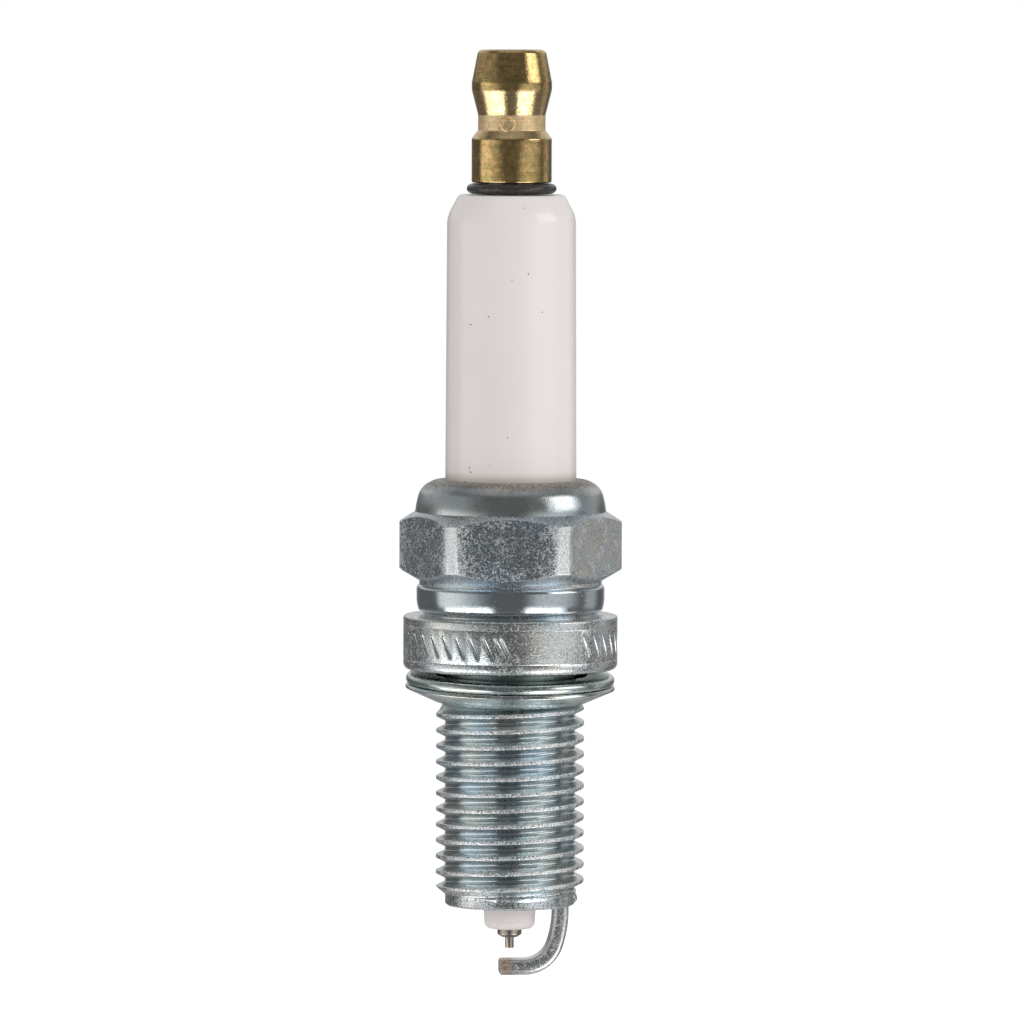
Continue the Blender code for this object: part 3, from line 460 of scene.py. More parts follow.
def grow(mesh, edges, radius, height):
    """Extrude a round rim to another radius and height, in mm."""
    grown = bmesh.ops.extrude_edge_only(mesh, edges=edges)["geom"]
    for vert in (item for item in grown if isinstance(item, bmesh.types.BMVert)):
        scale = radius * MM / hypot(vert.co.x, vert.co.y)
        vert.co = (vert.co.x * scale, vert.co.y * scale, height * MM)
    return [item for item in grown if isinstance(item, bmesh.types.BMEdge)]


BORE = [(END_RADIUS - END_CHAMFER, -REACH), (3.55, -REACH), (3.4, -REACH + 0.15), (3.4, -10.5), (3.1, -10.2),
        (3.1, -9.0), (3.9, -8.54), (3.9, NECK_TOP)]
open_rim = rim_at(tooth, END_CHAMFER - REACH)
for radius, height in BORE:
    open_rim = grow(tooth, open_rim, radius, height)
bmesh.ops.bridge_loops(tooth, edges=rim_at(tooth, NECK_TOP))
bmesh.ops.recalc_face_normals(tooth, faces=tooth.faces)
sleeve = make("threaded_sleeve", tooth, crisp=40)
fit(sleeve, "zinc_plate")

# %% [markdown]
# ## Gasket
# The crush gasket is one strip of steel folded into an S. Its section is drawn the way the strip is
# folded: an edge as long as the strip is thick is pushed along for each flat leaf, and spun about a
# point for each fold. The outline of that section is then spun about the plug. It hangs loose and a
# little askew on the neck.

# %% Gasket
STRIP = 0.34
BEAD_RADIUS = 0.29
FOLD_RADIUS = 0.28
DISH = radians(20)
RISE = radians(24.5)
BEAD_EDGE = 8.28
LIP_EDGE = 8.35
FOLD_INNER = 5.52
TOP_LEAF = 1.7
FOLD_STEPS = 14
STRIP_FACETS = 200
GASKET_TILT = radians(2.15)
GASKET_TURN = radians(20)
GASKET_FREE = 0.05

half = STRIP / 2
bead_centre = BEAD_EDGE - BEAD_RADIUS - half
fold_centre = FOLD_INNER + half + FOLD_RADIUS
middle_leaf = (bead_centre - fold_centre + (BEAD_RADIUS + FOLD_RADIUS) * sin(DISH)) / cos(DISH)
lip_leaf = (LIP_EDGE - fold_centre - (half + FOLD_RADIUS) * sin(RISE)) / cos(RISE)

strip = bmesh.new()
end = [strip.verts.new(((bead_centre - TOP_LEAF) * MM, 0, height * MM)) for height in (0, -STRIP)]
front = strip.edges.new(end)


def push(edge, length, heading):
    """Carry the strip's end straight on."""
    grown = bmesh.ops.extrude_edge_only(strip, edges=[edge])["geom"]
    verts = [item for item in grown if isinstance(item, bmesh.types.BMVert)]
    bmesh.ops.translate(strip, vec=(length * cos(heading) * MM, 0, length * sin(heading) * MM), verts=verts)
    return next(item for item in grown if isinstance(item, bmesh.types.BMEdge)
                and all(vert in verts for vert in item.verts))


def fold(edge, radius, heading, angle):
    """Bend the strip's end about a point at its side."""
    middle = (edge.verts[0].co + edge.verts[1].co) / 2
    side = 1 if angle > 0 else -1
    centre = middle + side * radius * MM * Vector((-sin(heading), 0, cos(heading)))
    bent = bmesh.ops.spin(strip, geom=list(edge.verts) + [edge], cent=centre, axis=(0, -1, 0),
                          angle=angle, steps=FOLD_STEPS)
    return next(item for item in bent["geom_last"] if isinstance(item, bmesh.types.BMEdge))


front = push(front, TOP_LEAF, 0)
front = fold(front, BEAD_RADIUS, 0, DISH - pi)
front = push(front, middle_leaf, DISH - pi)
front = fold(front, FOLD_RADIUS, DISH - pi, pi - DISH + RISE)
front = push(front, lip_leaf, RISE)
bmesh.ops.remove_doubles(strip, verts=strip.verts, dist=TINY)
ends = [vert for vert in strip.verts if len(vert.link_edges) == 2]
bmesh.ops.bevel(strip, geom=ends, affect="VERTICES", offset=0.08 * MM, segments=3, profile=0.5, material=-1)
inner = [edge for edge in strip.edges if not edge.is_boundary]
bmesh.ops.delete(strip, geom=inner, context="EDGES")
strip_faces = list(strip.faces)
bmesh.ops.delete(strip, geom=strip_faces, context="FACES_ONLY")
spin_round(strip, STRIP_FACETS)
gasket_drop = GASKET_FREE + BEAD_EDGE * sin(GASKET_TILT)
bmesh.ops.transform(strip, verts=strip.verts, matrix=Matrix.Translation((0, 0, -gasket_drop * MM))
                    @ Matrix.Rotation(GASKET_TURN, 4, "Z") @ Matrix.Rotation(GASKET_TILT, 4, "X"))
crush_gasket = make("crush_gasket", strip, crisp=60)
fit(crush_gasket, "gasket_steel", body="gasket", node="gasket")

# %% [markdown]
# ## Electrodes
# The centre electrode ends in a short collar and a cone, and carries a fine wire tip. The ground
# electrode is a flat bar with rounded edges, welded to the shell's end, leaned in and bent square
# under the tip. It is made by pushing one face along and spinning it through the bends.

# %% Centre electrode and tip
TIP_RADIUS = 0.345
TIP_HOLE = 0.395
electrode_end, electrode_top = bottom_and_top("centre_electrode")
electrode = make("nickel_electrode", turn([
    (0, electrode_end + 1.64), (0.55, electrode_end + 1.64), (0.55, electrode_top), (1.45, electrode_top),
    (1.45, electrode_top - 1.3), (0.96, electrode_top - 1.79), (0.96, electrode_end + 0.24, 0.06),
    (0.6, electrode_end, 0.05), (TIP_HOLE, electrode_end), (TIP_HOLE, electrode_end + 0.45),
    (0, electrode_end + 0.45),
], 96))
fit(electrode, "nickel", node="centre_electrode")

tip_end, tip_top = bottom_and_top("firing_tip")
tip = make("wire_tip", turn([
    (0, tip_top), (TIP_RADIUS, tip_top, 0.05), (TIP_RADIUS, tip_end, 0.05), (0, tip_end),
], 64))
fit(tip, "iridium", node="firing_tip")

# %% Ground electrode
THICKNESS = 1.24
WIDTH = 2.3
EDGE_ROUND = 0.42
LEG_CENTRE = 4.03
LEAN = radians(19)
LEAN_RADIUS = 8.4
BEND_RADIUS = 2.6
OVERHANG = 0.82
END_ROUND = 0.2
BAR_TURN = radians(6)
GAP = 0.86
weld = -REACH - 0.05
arm = tip_end - GAP - THICKNESS / 2
leg = weld - arm - LEAN_RADIUS * sin(LEAN) - BEND_RADIUS * (1 - sin(LEAN))

strap = bmesh.new()
bmesh.ops.create_grid(strap, x_segments=1, y_segments=1, size=0.5 * MM)
bmesh.ops.scale(strap, vec=(THICKNESS, WIDTH, 1), verts=strap.verts)
bmesh.ops.bevel(strap, geom=strap.verts, affect="VERTICES", offset=EDGE_ROUND * MM, segments=6, profile=0.5,
                material=-1)
bmesh.ops.translate(strap, vec=(LEG_CENTRE * MM, 0, weld * MM), verts=strap.verts)


def face_of(items):
    """The face in a list of geometry."""
    return next(item for item in items if isinstance(item, bmesh.types.BMFace))


def push_face(face, offset):
    """Carry the bar's end straight on."""
    grown = face_of(bmesh.ops.extrude_face_region(strap, geom=[face])["geom"])
    bmesh.ops.translate(strap, vec=offset, verts=grown.verts)
    return grown


leg_end = push_face(face_of(strap.faces), (0, 0, -leg * MM))
lean_centre = Vector((LEG_CENTRE - LEAN_RADIUS, 0, weld - leg)) * MM
lean_end = face_of(bmesh.ops.spin(strap, geom=[leg_end], cent=lean_centre, axis=(0, 1, 0), angle=LEAN,
                                  steps=6)["geom_last"])
bend_centre = lean_centre + Vector((cos(LEAN), 0, -sin(LEAN))) * (LEAN_RADIUS - BEND_RADIUS) * MM
bend_end = face_of(bmesh.ops.spin(strap, geom=[lean_end], cent=bend_centre, axis=(0, 1, 0),
                                  angle=pi / 2 - LEAN, steps=28)["geom_last"])
free_end = push_face(bend_end, (-bend_centre.x - OVERHANG * MM, 0, 0))
bmesh.ops.bevel(strap, geom=list(free_end.edges), affect="EDGES", offset=END_ROUND * MM, segments=4,
                profile=0.5, material=-1)
bmesh.ops.delete(strap, geom=[leg_end, lean_end, bend_end], context="FACES_ONLY")
bmesh.ops.rotate(strap, matrix=Matrix.Rotation(BAR_TURN, 3, "Z"), verts=strap.verts)
bmesh.ops.recalc_face_normals(strap, faces=strap.faces)
ground = make("ground_strap", strap, crisp=40)
fit(ground, "plated_nickel", node="ground_electrode")

# %% [markdown]
# A welding press squeezed the bar on to the shell, and a little steel was pushed out round the
# joint. That flash is a small ball, flattened and made lumpy with noise.

# %% Weld flash
flash = bmesh.new()
bmesh.ops.create_icosphere(flash, subdivisions=4, radius=1.0)
for vert in flash.verts:
    vert.co *= 1 + 0.3 * noise.noise(vert.co * 2.6)
bmesh.ops.scale(flash, vec=(0.42 * MM, 1.25 * MM, 0.62 * MM), verts=flash.verts)
bmesh.ops.translate(flash, vec=(4.9 * MM, 0, (weld + 0.62) * MM), verts=flash.verts)
bmesh.ops.rotate(flash, matrix=Matrix.Rotation(BAR_TURN, 3, "Z"), verts=flash.verts)
weld_flash = make("weld_flash", flash)
fit(weld_flash, "zinc_plate")

# %% [markdown]
# ## Helpers for finishes
# Every finish is made of nodes that read the piece's own coordinates, scaled to millimetres, so
# that a grain of 0.2 mm is simply a noise of scale 5. One helper adds a node and joins its inputs.

# %% Node helpers
class Nodes:
    """A node tree with short ways to add to it."""

    def __init__(self, tree):
        self.tree = tree

    def join(self, socket, value):
        """Put a value on a socket, or link another node's socket to it."""
        if isinstance(value, bpy.types.NodeSocket):
            self.tree.links.new(value, socket)
        elif isinstance(value, tuple) and socket.type == "RGBA":
            socket.default_value = (*value, 1.0)
        else:
            socket.default_value = value

    def add(self, kind, inputs=None, **settings):
        """A node with its settings, and its inputs given as values or as sockets."""
        node = self.tree.nodes.new("ShaderNode" + kind)
        for key, value in settings.items():
            setattr(node, key, value)
        for key, value in (inputs or {}).items():
            self.join(node.inputs[key], value)
        return node

    def sum(self, first, second=0.0, operation="ADD"):
        """Two numbers joined by a sum, a product or another operation."""
        return self.add("Math", {0: first, 1: second}, operation=operation).outputs[0]

    def span(self, value, low, high, new_low=0.0, new_high=1.0, soft=False):
        """A value's span stretched to another span and clamped."""
        return self.add("MapRange", {"Value": value, "From Min": low, "From Max": high,
                                     "To Min": new_low, "To Max": new_high},
                        interpolation_type="SMOOTHSTEP" if soft else "LINEAR").outputs["Result"]

    def blend(self, amount, first, second):
        """Two colours mixed."""
        return self.add("Mix", {0: amount, 6: first, 7: second}, data_type="RGBA").outputs[2]


class Finish(Nodes):
    """A material whose patterns are measured in millimetres."""

    def __init__(self, name):
        self.material = bpy.data.materials.new(name)
        self.material.use_nodes = True
        super().__init__(self.material.node_tree)
        self.shader = self.tree.nodes["Principled BSDF"]
        own = self.add("TexCoord").outputs["Object"]
        self.place = self.add("Mapping", {"Vector": own, "Scale": (1 / MM, 1 / MM, 1 / MM)}).outputs["Vector"]

    def set(self, key, value):
        """A value or a pattern on one of the shader's sockets."""
        self.join(self.shader.inputs[key], value)

    def stretched(self, scale):
        """Coordinates scaled unevenly, for grain that runs one way."""
        return self.add("Mapping", {"Vector": self.place, "Scale": scale}).outputs["Vector"]

    def grain(self, scale, detail=3.0, rough=0.6, place=None, twist=0.0):
        """Noise of so many waves to a millimetre."""
        return self.add("TexNoise", {"Vector": place or self.place, "Scale": scale, "Detail": detail,
                                     "Roughness": rough, "Distortion": twist}).outputs["Fac"]

    def part(self, axis):
        """One coordinate in millimetres."""
        return self.add("SeparateXYZ", {"Vector": self.place}).outputs[axis]

    def from_axis(self):
        """Distance from the plug's axis in millimetres."""
        flat = self.add("VectorMath", {0: self.place, 1: (1.0, 1.0, 0.0)}, operation="MULTIPLY").outputs[0]
        return self.add("VectorMath", {0: flat}, operation="LENGTH").outputs["Value"]

    def emboss(self, height, depth):
        """Bump of a depth in millimetres."""
        bump = self.add("Bump", {"Height": height, "Distance": depth * MM, "Strength": 1.0})
        self.set("Normal", bump.outputs["Normal"])


print("node helpers:", Nodes.__name__, "and", Finish.__name__)

# %% [markdown]
# ## Zinc plate
# Bright zinc is bluish and slightly cloudy, and where it was struck or handled it has a frost of
# dull pale grains. Frost is not a mirror any more, so its mask makes the metal duller, rougher and
# paler at once. The same recipe serves every zone of the shell with its own share of frost: much on
# the hexagon, the crests of the thread and the flange, almost none on the shrink band. One side of
# the hexagon, the one towards the right lamp, is satin and painted paler, a painted light. The lip
# has rust where it meets the ceramic. The neck is dull under the gasket, and above it, in the gap
# under the flange, it is painted dark, a painted shade.

# %% Zinc plate
def zinc(name, colour, rough, grit, frost, pits, depth, lines=(1, 1, 1), pale=(0.50, 0.52, 0.52),
         twist=1.2, worn=None, rust=False):
    """Plated steel. Frost is the share of dull grains, pits the strength of dark ones and grit their
    waves to a millimetre. Worn gives two distances from the axis between which the frost grows, and
    rust browns the surface close to the axis."""
    finish = Finish(name)
    cloud = finish.grain(0.8, 3.0)
    fine = finish.grain(grit, 3.0, 0.55, finish.stretched(lines), twist)
    edge = finish.span(cloud, 0.3, 0.7, 0.66 - 0.3 * frost, 0.56 - 0.3 * frost)
    if worn:
        edge = finish.sum(edge, finish.span(finish.from_axis(), *worn, 0.0, -0.07, soft=True))
    frosted = finish.span(finish.sum(fine, edge, "SUBTRACT"), 0.0, 0.1)
    warm = tuple(channel * tint for channel, tint in zip(colour, (1.0, 0.99, 0.94)))
    cool = tuple(channel * tint for channel, tint in zip(colour, (0.9, 0.97, 1.02)))
    tone = finish.blend(finish.span(finish.grain(0.3, 2.0), 0.35, 0.65), cool, warm)
    dark = finish.span(finish.grain(grit * 1.2, 2.0, 0.5), 0.56, 0.68, 0.0, pits)
    tone = finish.blend(dark, tone, tuple(channel * 0.25 for channel in colour))
    tone = finish.blend(frosted, tone, pale)
    if worn:
        handled = finish.sum(finish.span(finish.from_axis(), 8.5, 8.8),
                             finish.span(fine, 0.35, 0.6, 0.25, 0.75), "MULTIPLY")
        tone = finish.blend(handled, tone, (0.84, 0.85, 0.84))
    rub = finish.span(cloud, 0.3, 0.7, rough * 0.75, rough * 1.25)
    if rust:
        ragged = finish.sum(finish.from_axis(), finish.span(cloud, 0.3, 0.7, -0.25, 0.25))
        brown = finish.span(ragged, 7.15, 6.6)
        rough_spot = finish.sum(brown, finish.span(fine, 0.4, 0.56, 0.1, 0.95), "MULTIPLY")
        tone = finish.blend(rough_spot, tone, (0.27, 0.215, 0.165))
        rub = finish.sum(rub, finish.sum(brown, 0.25, "MULTIPLY"))
    finish.set("Base Color", tone)
    finish.set("Metallic", finish.span(frosted, 0.0, 1.0, 1.0, 0.45))
    finish.set("Roughness", finish.sum(rub, finish.sum(frosted, 0.25, "MULTIPLY")))
    finish.emboss(fine, depth)
    return finish.material


zinc_lip = zinc("zinc_lip", (0.62, 0.65, 0.66), 0.25, 6.0, -0.6, 0.4, 0.006, lines=(1, 1, 0.15), rust=True)
zinc_flat = zinc("zinc_flat", (0.55, 0.60, 0.65), 0.2, 6.0, 0.24, 0.5, 0.025,
                 pale=(0.60, 0.62, 0.63), worn=(8.1, 8.8))
zinc_crest = zinc("zinc_crest", (0.78, 0.80, 0.81), 0.2, 5.0, 0.4, 0.9, 0.05, pale=(0.70, 0.71, 0.70))
zinc_band = zinc("zinc_band", (0.62, 0.67, 0.71), 0.11, 3.5, -0.1, 0.25, 0.006, lines=(1, 1, 2))
zinc_flange = zinc("zinc_flange", (0.74, 0.76, 0.76), 0.22, 6.5, 0.2, 0.8, 0.022,
                   lines=(0.9, 0.9, 1.3), pale=(0.60, 0.61, 0.60), twist=0.2)
# Satin, and painted paler: a painted light on the hexagon's face towards the right lamp.
zinc_satin_painted_light = zinc("zinc_satin_painted_light", (0.80, 0.80, 0.78), 0.34, 6.0, 0.2, 0.8, 0.03, pale=(0.60, 0.60, 0.58))
zinc_root = zinc("zinc_root", (0.62, 0.67, 0.69), 0.12, 4.5, -0.1, 0.3, 0.005, lines=(0.7, 0.7, 1.5))
zinc_flank = zinc("zinc_flank", (0.61, 0.645, 0.655), 0.28, 4.5, 0.05, 0.5, 0.012)
zinc_neck = zinc("zinc_neck", (0.84, 0.87, 0.88), 0.42, 4.5, -0.1, 0.3, 0.006)
# A dark copy of the neck finish: painted shade on the neck above the gasket, in the gap under the flange.
zinc_gap_shade = zinc("zinc_gap_shade", (0.36, 0.42, 0.39), 0.3, 4.5, -0.3, 0.3, 0.006)
zinc_end = zinc("zinc_end", (0.76, 0.78, 0.79), 0.16, 5.0, 0.1, 0.9, 0.025, pale=(0.70, 0.71, 0.70))


# %% [markdown]
# The finishes are handed out by where a face lies. On the head its height decides, and for the satin
# side, painted paler as a painted light, the way it faces. On the sleeve its distance from the axis
# tells root, flank and crest apart, and its height finds the plain end, the neck, and the part of
# the neck above the gasket that is painted dark as a painted shade.

# %% Zones of zinc
HEAD_ZONES = (zinc_lip, zinc_flat, zinc_band, zinc_flange, zinc_satin_painted_light)
# The face towards the right lamp, which gets the satin finish painted paler as a painted light.
LIT_SATIN_SIDE = Vector((sin(radians(60)), -cos(radians(60)), 0))
for finish in HEAD_ZONES:
    head.data.materials.append(finish)
for face in head.data.polygons:
    height = face.center.z / MM
    radius = hypot(face.center.x, face.center.y) / MM
    if height > HEX_TOP + 0.03 and radius < 7.6:
        face.material_index = 0
    elif height > HEX_BASE - 0.05:
        face.material_index = 4 if face.normal.dot(LIT_SATIN_SIDE) > 0.96 else 1
    elif height > FLANGE_TOP + 0.02:
        face.material_index = 2
    else:
        face.material_index = 3

SLEEVE_ZONES = (zinc_root, zinc_flank, zinc_crest, zinc_end, zinc_neck, zinc_gap_shade)
FLANK_FROM = ROOT_RADIUS + 0.12
CREST_FROM = CREST_RADIUS - 0.04
THREAD_FROM = -3.0
SHADE_FROM = -1.9
END_FROM = -17.4
for finish in SLEEVE_ZONES:
    sleeve.data.materials.append(finish)
for face in sleeve.data.polygons:
    height = face.center.z / MM
    radius = hypot(face.center.x, face.center.y) / MM
    face.material_index = sum(radius > limit for limit in (FLANK_FROM, CREST_FROM))
    if height < END_FROM and radius > 3.6:
        face.material_index = 3
    elif height > THREAD_FROM and 5.1 < radius < CREST_FROM:
        face.material_index = 4 if height < SHADE_FROM else 5
weld_flash.data.materials.append(zinc("weld_bead", (0.90, 0.91, 0.92), 0.14, 3.0, 0.0, 0.4, 0.02))
print("zinc zones:", ", ".join(finish.name for finish in HEAD_ZONES + SLEEVE_ZONES))

# %% [markdown]
# ## Brass, rubber and ceramic
# Turned brass shows rings from the tool, a few dark pits and patches of tarnish. The flare and the
# chamfer get a whiter, smoother brass as a painted highlight, and the neck between them is matt. The rubber is
# dull with paler scuffs.
# The glaze is smooth and bright, a warm white with a rare dark fleck in it, and it grows darker and
# browner in a narrow band just above the shell. The nose has no glaze.

# %% Brass
def turned_brass(name, bright, tarnished, rough, metallic=1.0):
    """Brass with rings from the tool, tarnish and dark pits."""
    finish = Finish(name)
    rings = finish.grain(1.0, 3.0, 0.6, finish.stretched((0.3, 0.3, 14)))
    tarnish = finish.grain(2.4, 5.0, 0.7)
    pits = finish.span(finish.grain(7.0, 2.0, 0.5), 0.63, 0.7)
    gold = finish.blend(finish.span(tarnish, 0.42, 0.62), bright, tarnished)
    olive = (0.75 * tarnished[0], 1.05 * tarnished[1], tarnished[2])
    gold = finish.blend(finish.span(finish.grain(1.4, 4.0), 0.48, 0.64, 0.0, 0.6), gold, olive)
    ring_tone = tuple(part * 0.6 for part in tarnished)
    gold = finish.blend(finish.span(rings, 0.48, 0.72, 0.0, 0.6), gold, ring_tone)
    finish.set("Base Color", finish.blend(finish.sum(pits, 0.7, "MULTIPLY"), gold, (0.12, 0.08, 0.05)))
    finish.set("Metallic", metallic)
    finish.set("Roughness", finish.sum(finish.span(tarnish, 0.35, 0.7, 0.6 * rough, 1.5 * rough),
                                       finish.sum(pits, 0.2, "MULTIPLY")))
    finish.emboss(finish.sum(rings, finish.sum(finish.grain(4.5, 3.0), 1.2, "MULTIPLY")), 0.009)
    return finish.material


BRASS_ZONES = (
    turned_brass("turned_brass", (0.88, 0.59, 0.26), (0.53, 0.365, 0.145), 0.11),
    # A whiter brass for the flare and the chamfer: a painted highlight.
    turned_brass("whiter_highlight_brass", (0.95, 0.71, 0.42), (0.76, 0.50, 0.23), 0.09),
    turned_brass("matt_neck", (0.94, 0.68, 0.38), (0.76, 0.53, 0.28), 0.36, 0.6),
)
FLARE = (3.2, 5.17)
CHAMFER = (6.4, 7.03)
for finish in BRASS_ZONES:
    terminal.data.materials.append(finish)
for face in terminal.data.polygons:
    depth = top - face.center.z / MM
    if hypot(face.center.x, face.center.y) / MM > STUD_HOLE + 0.05:
        painted_bright = FLARE[0] < depth < FLARE[1] or CHAMFER[0] < depth < CHAMFER[1]
        face.material_index = 1 if painted_bright else 2 if FLARE[1] <= depth <= CHAMFER[0] else 0
print("brass zones:", ", ".join(finish.name for finish in BRASS_ZONES))

# %% Rubber
rubber = Finish("dull_rubber")
scuff = rubber.grain(3.0, 5.0, 0.65)
scuffed = rubber.span(scuff, 0.55, 0.75)
rubber.set("Base Color", rubber.blend(scuffed, (0.036, 0.031, 0.031), (0.12, 0.105, 0.105)))
rubber.set("Roughness", rubber.span(scuff, 0.3, 0.7, 0.2, 0.36))
rubber.emboss(scuff, 0.02)
rubber_ring.data.materials.append(rubber.material)
print("rubber finish:", rubber.material.name)

# %% Glazed ceramic
BROWN_BAND_HEIGHT = 0.9
GLAZE_END = -8.5
glaze = Finish("warm_white_glaze")
flecks = glaze.span(glaze.grain(3.0, 0.0, 0.0), 0.868, 0.885)
cast = glaze.grain(0.12, 2.0, 0.5)
white = glaze.blend(glaze.span(cast, 0.35, 0.65), (0.835, 0.775, 0.755), (0.86, 0.795, 0.775))
# Darker and browner towards the shell, over a band of this height.
browner_above_shell = glaze.span(glaze.part("Z"), SHELL_TOP + BROWN_BAND_HEIGHT, SHELL_TOP, 0.0, 0.6, soft=True)
white = glaze.blend(browner_above_shell, white, (0.40, 0.34, 0.28))
glaze.set("Base Color", glaze.blend(flecks, white, (0.28, 0.24, 0.22)))
glaze.set("Roughness", glaze.span(glaze.grain(0.5, 3.0), 0.3, 0.7, 0.1, 0.18))
glaze.set("Coat Weight", 0.15)
glaze.set("Coat Roughness", 0.05)
glaze.emboss(glaze.grain(0.8, 2.0, 0.5), 0.006)
ceramic.data.materials.append(glaze.material)

nose = Finish("bare_nose")
speck = nose.grain(3.0, 4.0)
nose.set("Base Color", nose.blend(nose.span(speck, 0.35, 0.7), (0.95, 0.885, 0.865), (0.89, 0.82, 0.79)))
nose.set("Roughness", nose.span(speck, 0.3, 0.7, 0.45, 0.65))
nose.emboss(speck, 0.006)
ceramic.data.materials.append(nose.material)
for face in ceramic.data.polygons:
    face.material_index = 1 if face.center.z < GLAZE_END * MM else 0
print("ceramic finishes:", glaze.material.name, "and", nose.material.name)

# %% [markdown]
# ## Gasket and electrode finishes
# The gasket's strip was plated before it was folded, so it is smooth with marks that run round it.
# Its underside, facing down, is painted paler as a painted light from below. The centre electrode is brown-grey
# nickel, its tip a drawn wire with streaks along it. The ground electrode is plated, except at its free end,
# which was trimmed later and shows bare brown nickel.

# %% Gasket strip
plated_strip = zinc("plated_strip", (0.60, 0.65, 0.63), 0.16, 2.6, 0.1, 0.2, 0.006, lines=(1, 1, 3))
# A paler copy of the strip finish: painted light on the faces that look down.
painted_light_lip = zinc("painted_light_lip", (0.80, 0.84, 0.82), 0.2, 2.6, 0.15, 0.2, 0.006, lines=(1, 1, 3))
for finish in (plated_strip, painted_light_lip):
    crush_gasket.data.materials.append(finish)
underside = [face for face in crush_gasket.data.polygons
             if face.normal.z < -0.3 and face.center.z < -1.2 * MM
             and hypot(face.center.x, face.center.y) / MM > 5.9]
for face in underside:
    face.material_index = 1
print("rubbed faces under the gasket:", len(underside))

# %% Electrode metals
nickel = Finish("brown_nickel")
heat = nickel.grain(3.5, 4.0)
nickel.set("Base Color", nickel.blend(nickel.span(heat, 0.35, 0.65), (0.56, 0.48, 0.40), (0.34, 0.29, 0.25)))
nickel.set("Metallic", 1.0)
nickel.set("Roughness", nickel.span(heat, 0.3, 0.7, 0.2, 0.36))
nickel.emboss(nickel.grain(6.0, 3.0), 0.01)
electrode.data.materials.append(nickel.material)

wire = Finish("drawn_wire")
streaks = wire.grain(5.0, 3.0, 0.6, wire.stretched((1, 1, 0.08)))
wire.set("Base Color", wire.blend(wire.span(streaks, 0.35, 0.65), (0.80, 0.69, 0.60), (0.50, 0.42, 0.36)))
wire.set("Metallic", 1.0)
wire.set("Roughness", wire.span(streaks, 0.3, 0.7, 0.12, 0.26))
wire.emboss(streaks, 0.01)
tip.data.materials.append(wire.material)

plated = Finish("plated_strap")
mottle = plated.grain(5.0, 3.0, 0.55, None, 1.2)
frosted = plated.span(mottle, 0.54, 0.64)
ragged = plated.sum(plated.part("X"), plated.span(plated.grain(1.6), 0.3, 0.7, -0.35, 0.35))
trimmed_end = plated.span(ragged, 0.1, 0.5, 1.0, 0.0)
plate = plated.blend(frosted, (0.66, 0.68, 0.70), (0.74, 0.75, 0.75))
brown = plated.blend(plated.span(mottle, 0.35, 0.65), (0.31, 0.24, 0.19), (0.50, 0.41, 0.34))
plated.set("Base Color", plated.blend(trimmed_end, plate, brown))
plated.set("Metallic", plated.sum(plated.span(frosted, 0.0, 1.0, 1.0, 0.6),
                                  plated.span(trimmed_end, 0.0, 1.0, 1.0, 0.45), "MULTIPLY"))
plated.set("Roughness", plated.span(frosted, 0.0, 1.0, 0.27, 0.44))
plated.emboss(mottle, 0.018)
ground.data.materials.append(plated.material)
print("electrode finishes:", ", ".join(finish.material.name for finish in (nickel, wire, plated)))

# %% [markdown]
# ## Hidden pieces
# The stud, the core, the packing and the washer sit inside and are not seen from outside. They keep
# their solids, and each still gets a finish of its own, so that a cut-away view looks right.

# %% Finishes inside
def plain_inside(name, light, dark, rough, metallic, scale):
    """A mottled finish for a piece that is only seen in a cut-away."""
    finish = Finish(name)
    mottle = finish.grain(scale, 4.0)
    finish.set("Base Color", finish.blend(finish.span(mottle, 0.35, 0.65), light, dark))
    finish.set("Metallic", metallic)
    finish.set("Roughness", finish.span(mottle, 0.3, 0.7, rough * 0.85, rough * 1.15))
    finish.emboss(mottle, 0.01)
    return finish.material


steel_inside = plain_inside("plain_steel", (0.56, 0.56, 0.57), (0.44, 0.44, 0.45), 0.38, 1.0, 3.0)
glass_inside = plain_inside("fused_glass", (0.20, 0.19, 0.19), (0.11, 0.10, 0.10), 0.4, 0.0, 4.0)
inside = {
    "terminal_stud": steel_inside,
    "upper_packing_ring": steel_inside,
    "lower_packing_ring": steel_inside,
    "seat_washer": steel_inside,
    "upper_glass_seal": glass_inside,
    "lower_glass_seal": glass_inside,
    "resistor": plain_inside("carbon_mix", (0.13, 0.13, 0.13), (0.06, 0.06, 0.06), 0.75, 0.0, 6.0),
    "electrode_copper_core": plain_inside("copper_core", (0.76, 0.40, 0.24), (0.58, 0.28, 0.16), 0.35, 1.0,
                                          3.0),
    "talc_packing": plain_inside("pressed_talc", (0.82, 0.81, 0.78), (0.68, 0.67, 0.64), 0.9, 0.0, 5.0),
}
for node, finish in inside.items():
    data = frame["nodes"][node].data
    data.materials.clear()
    data.materials.append(finish)
print("finished inside:", len(inside), "nodes")

# %% [markdown]
# ## Studio
# Polished metal shows the studio more than its own colour. The plug hangs above a white floor, in
# front of white paper. Soft boxes stand at the left and at the right, and the side of the camera is
# dark. The floor is a plain sheet that catches the shadow, with a little glow of its own for the
# camera, so that it is as white as the paper. The rest is painted into the world as soft patches by
# bearing and height, because metal needs soft edges to reflect.

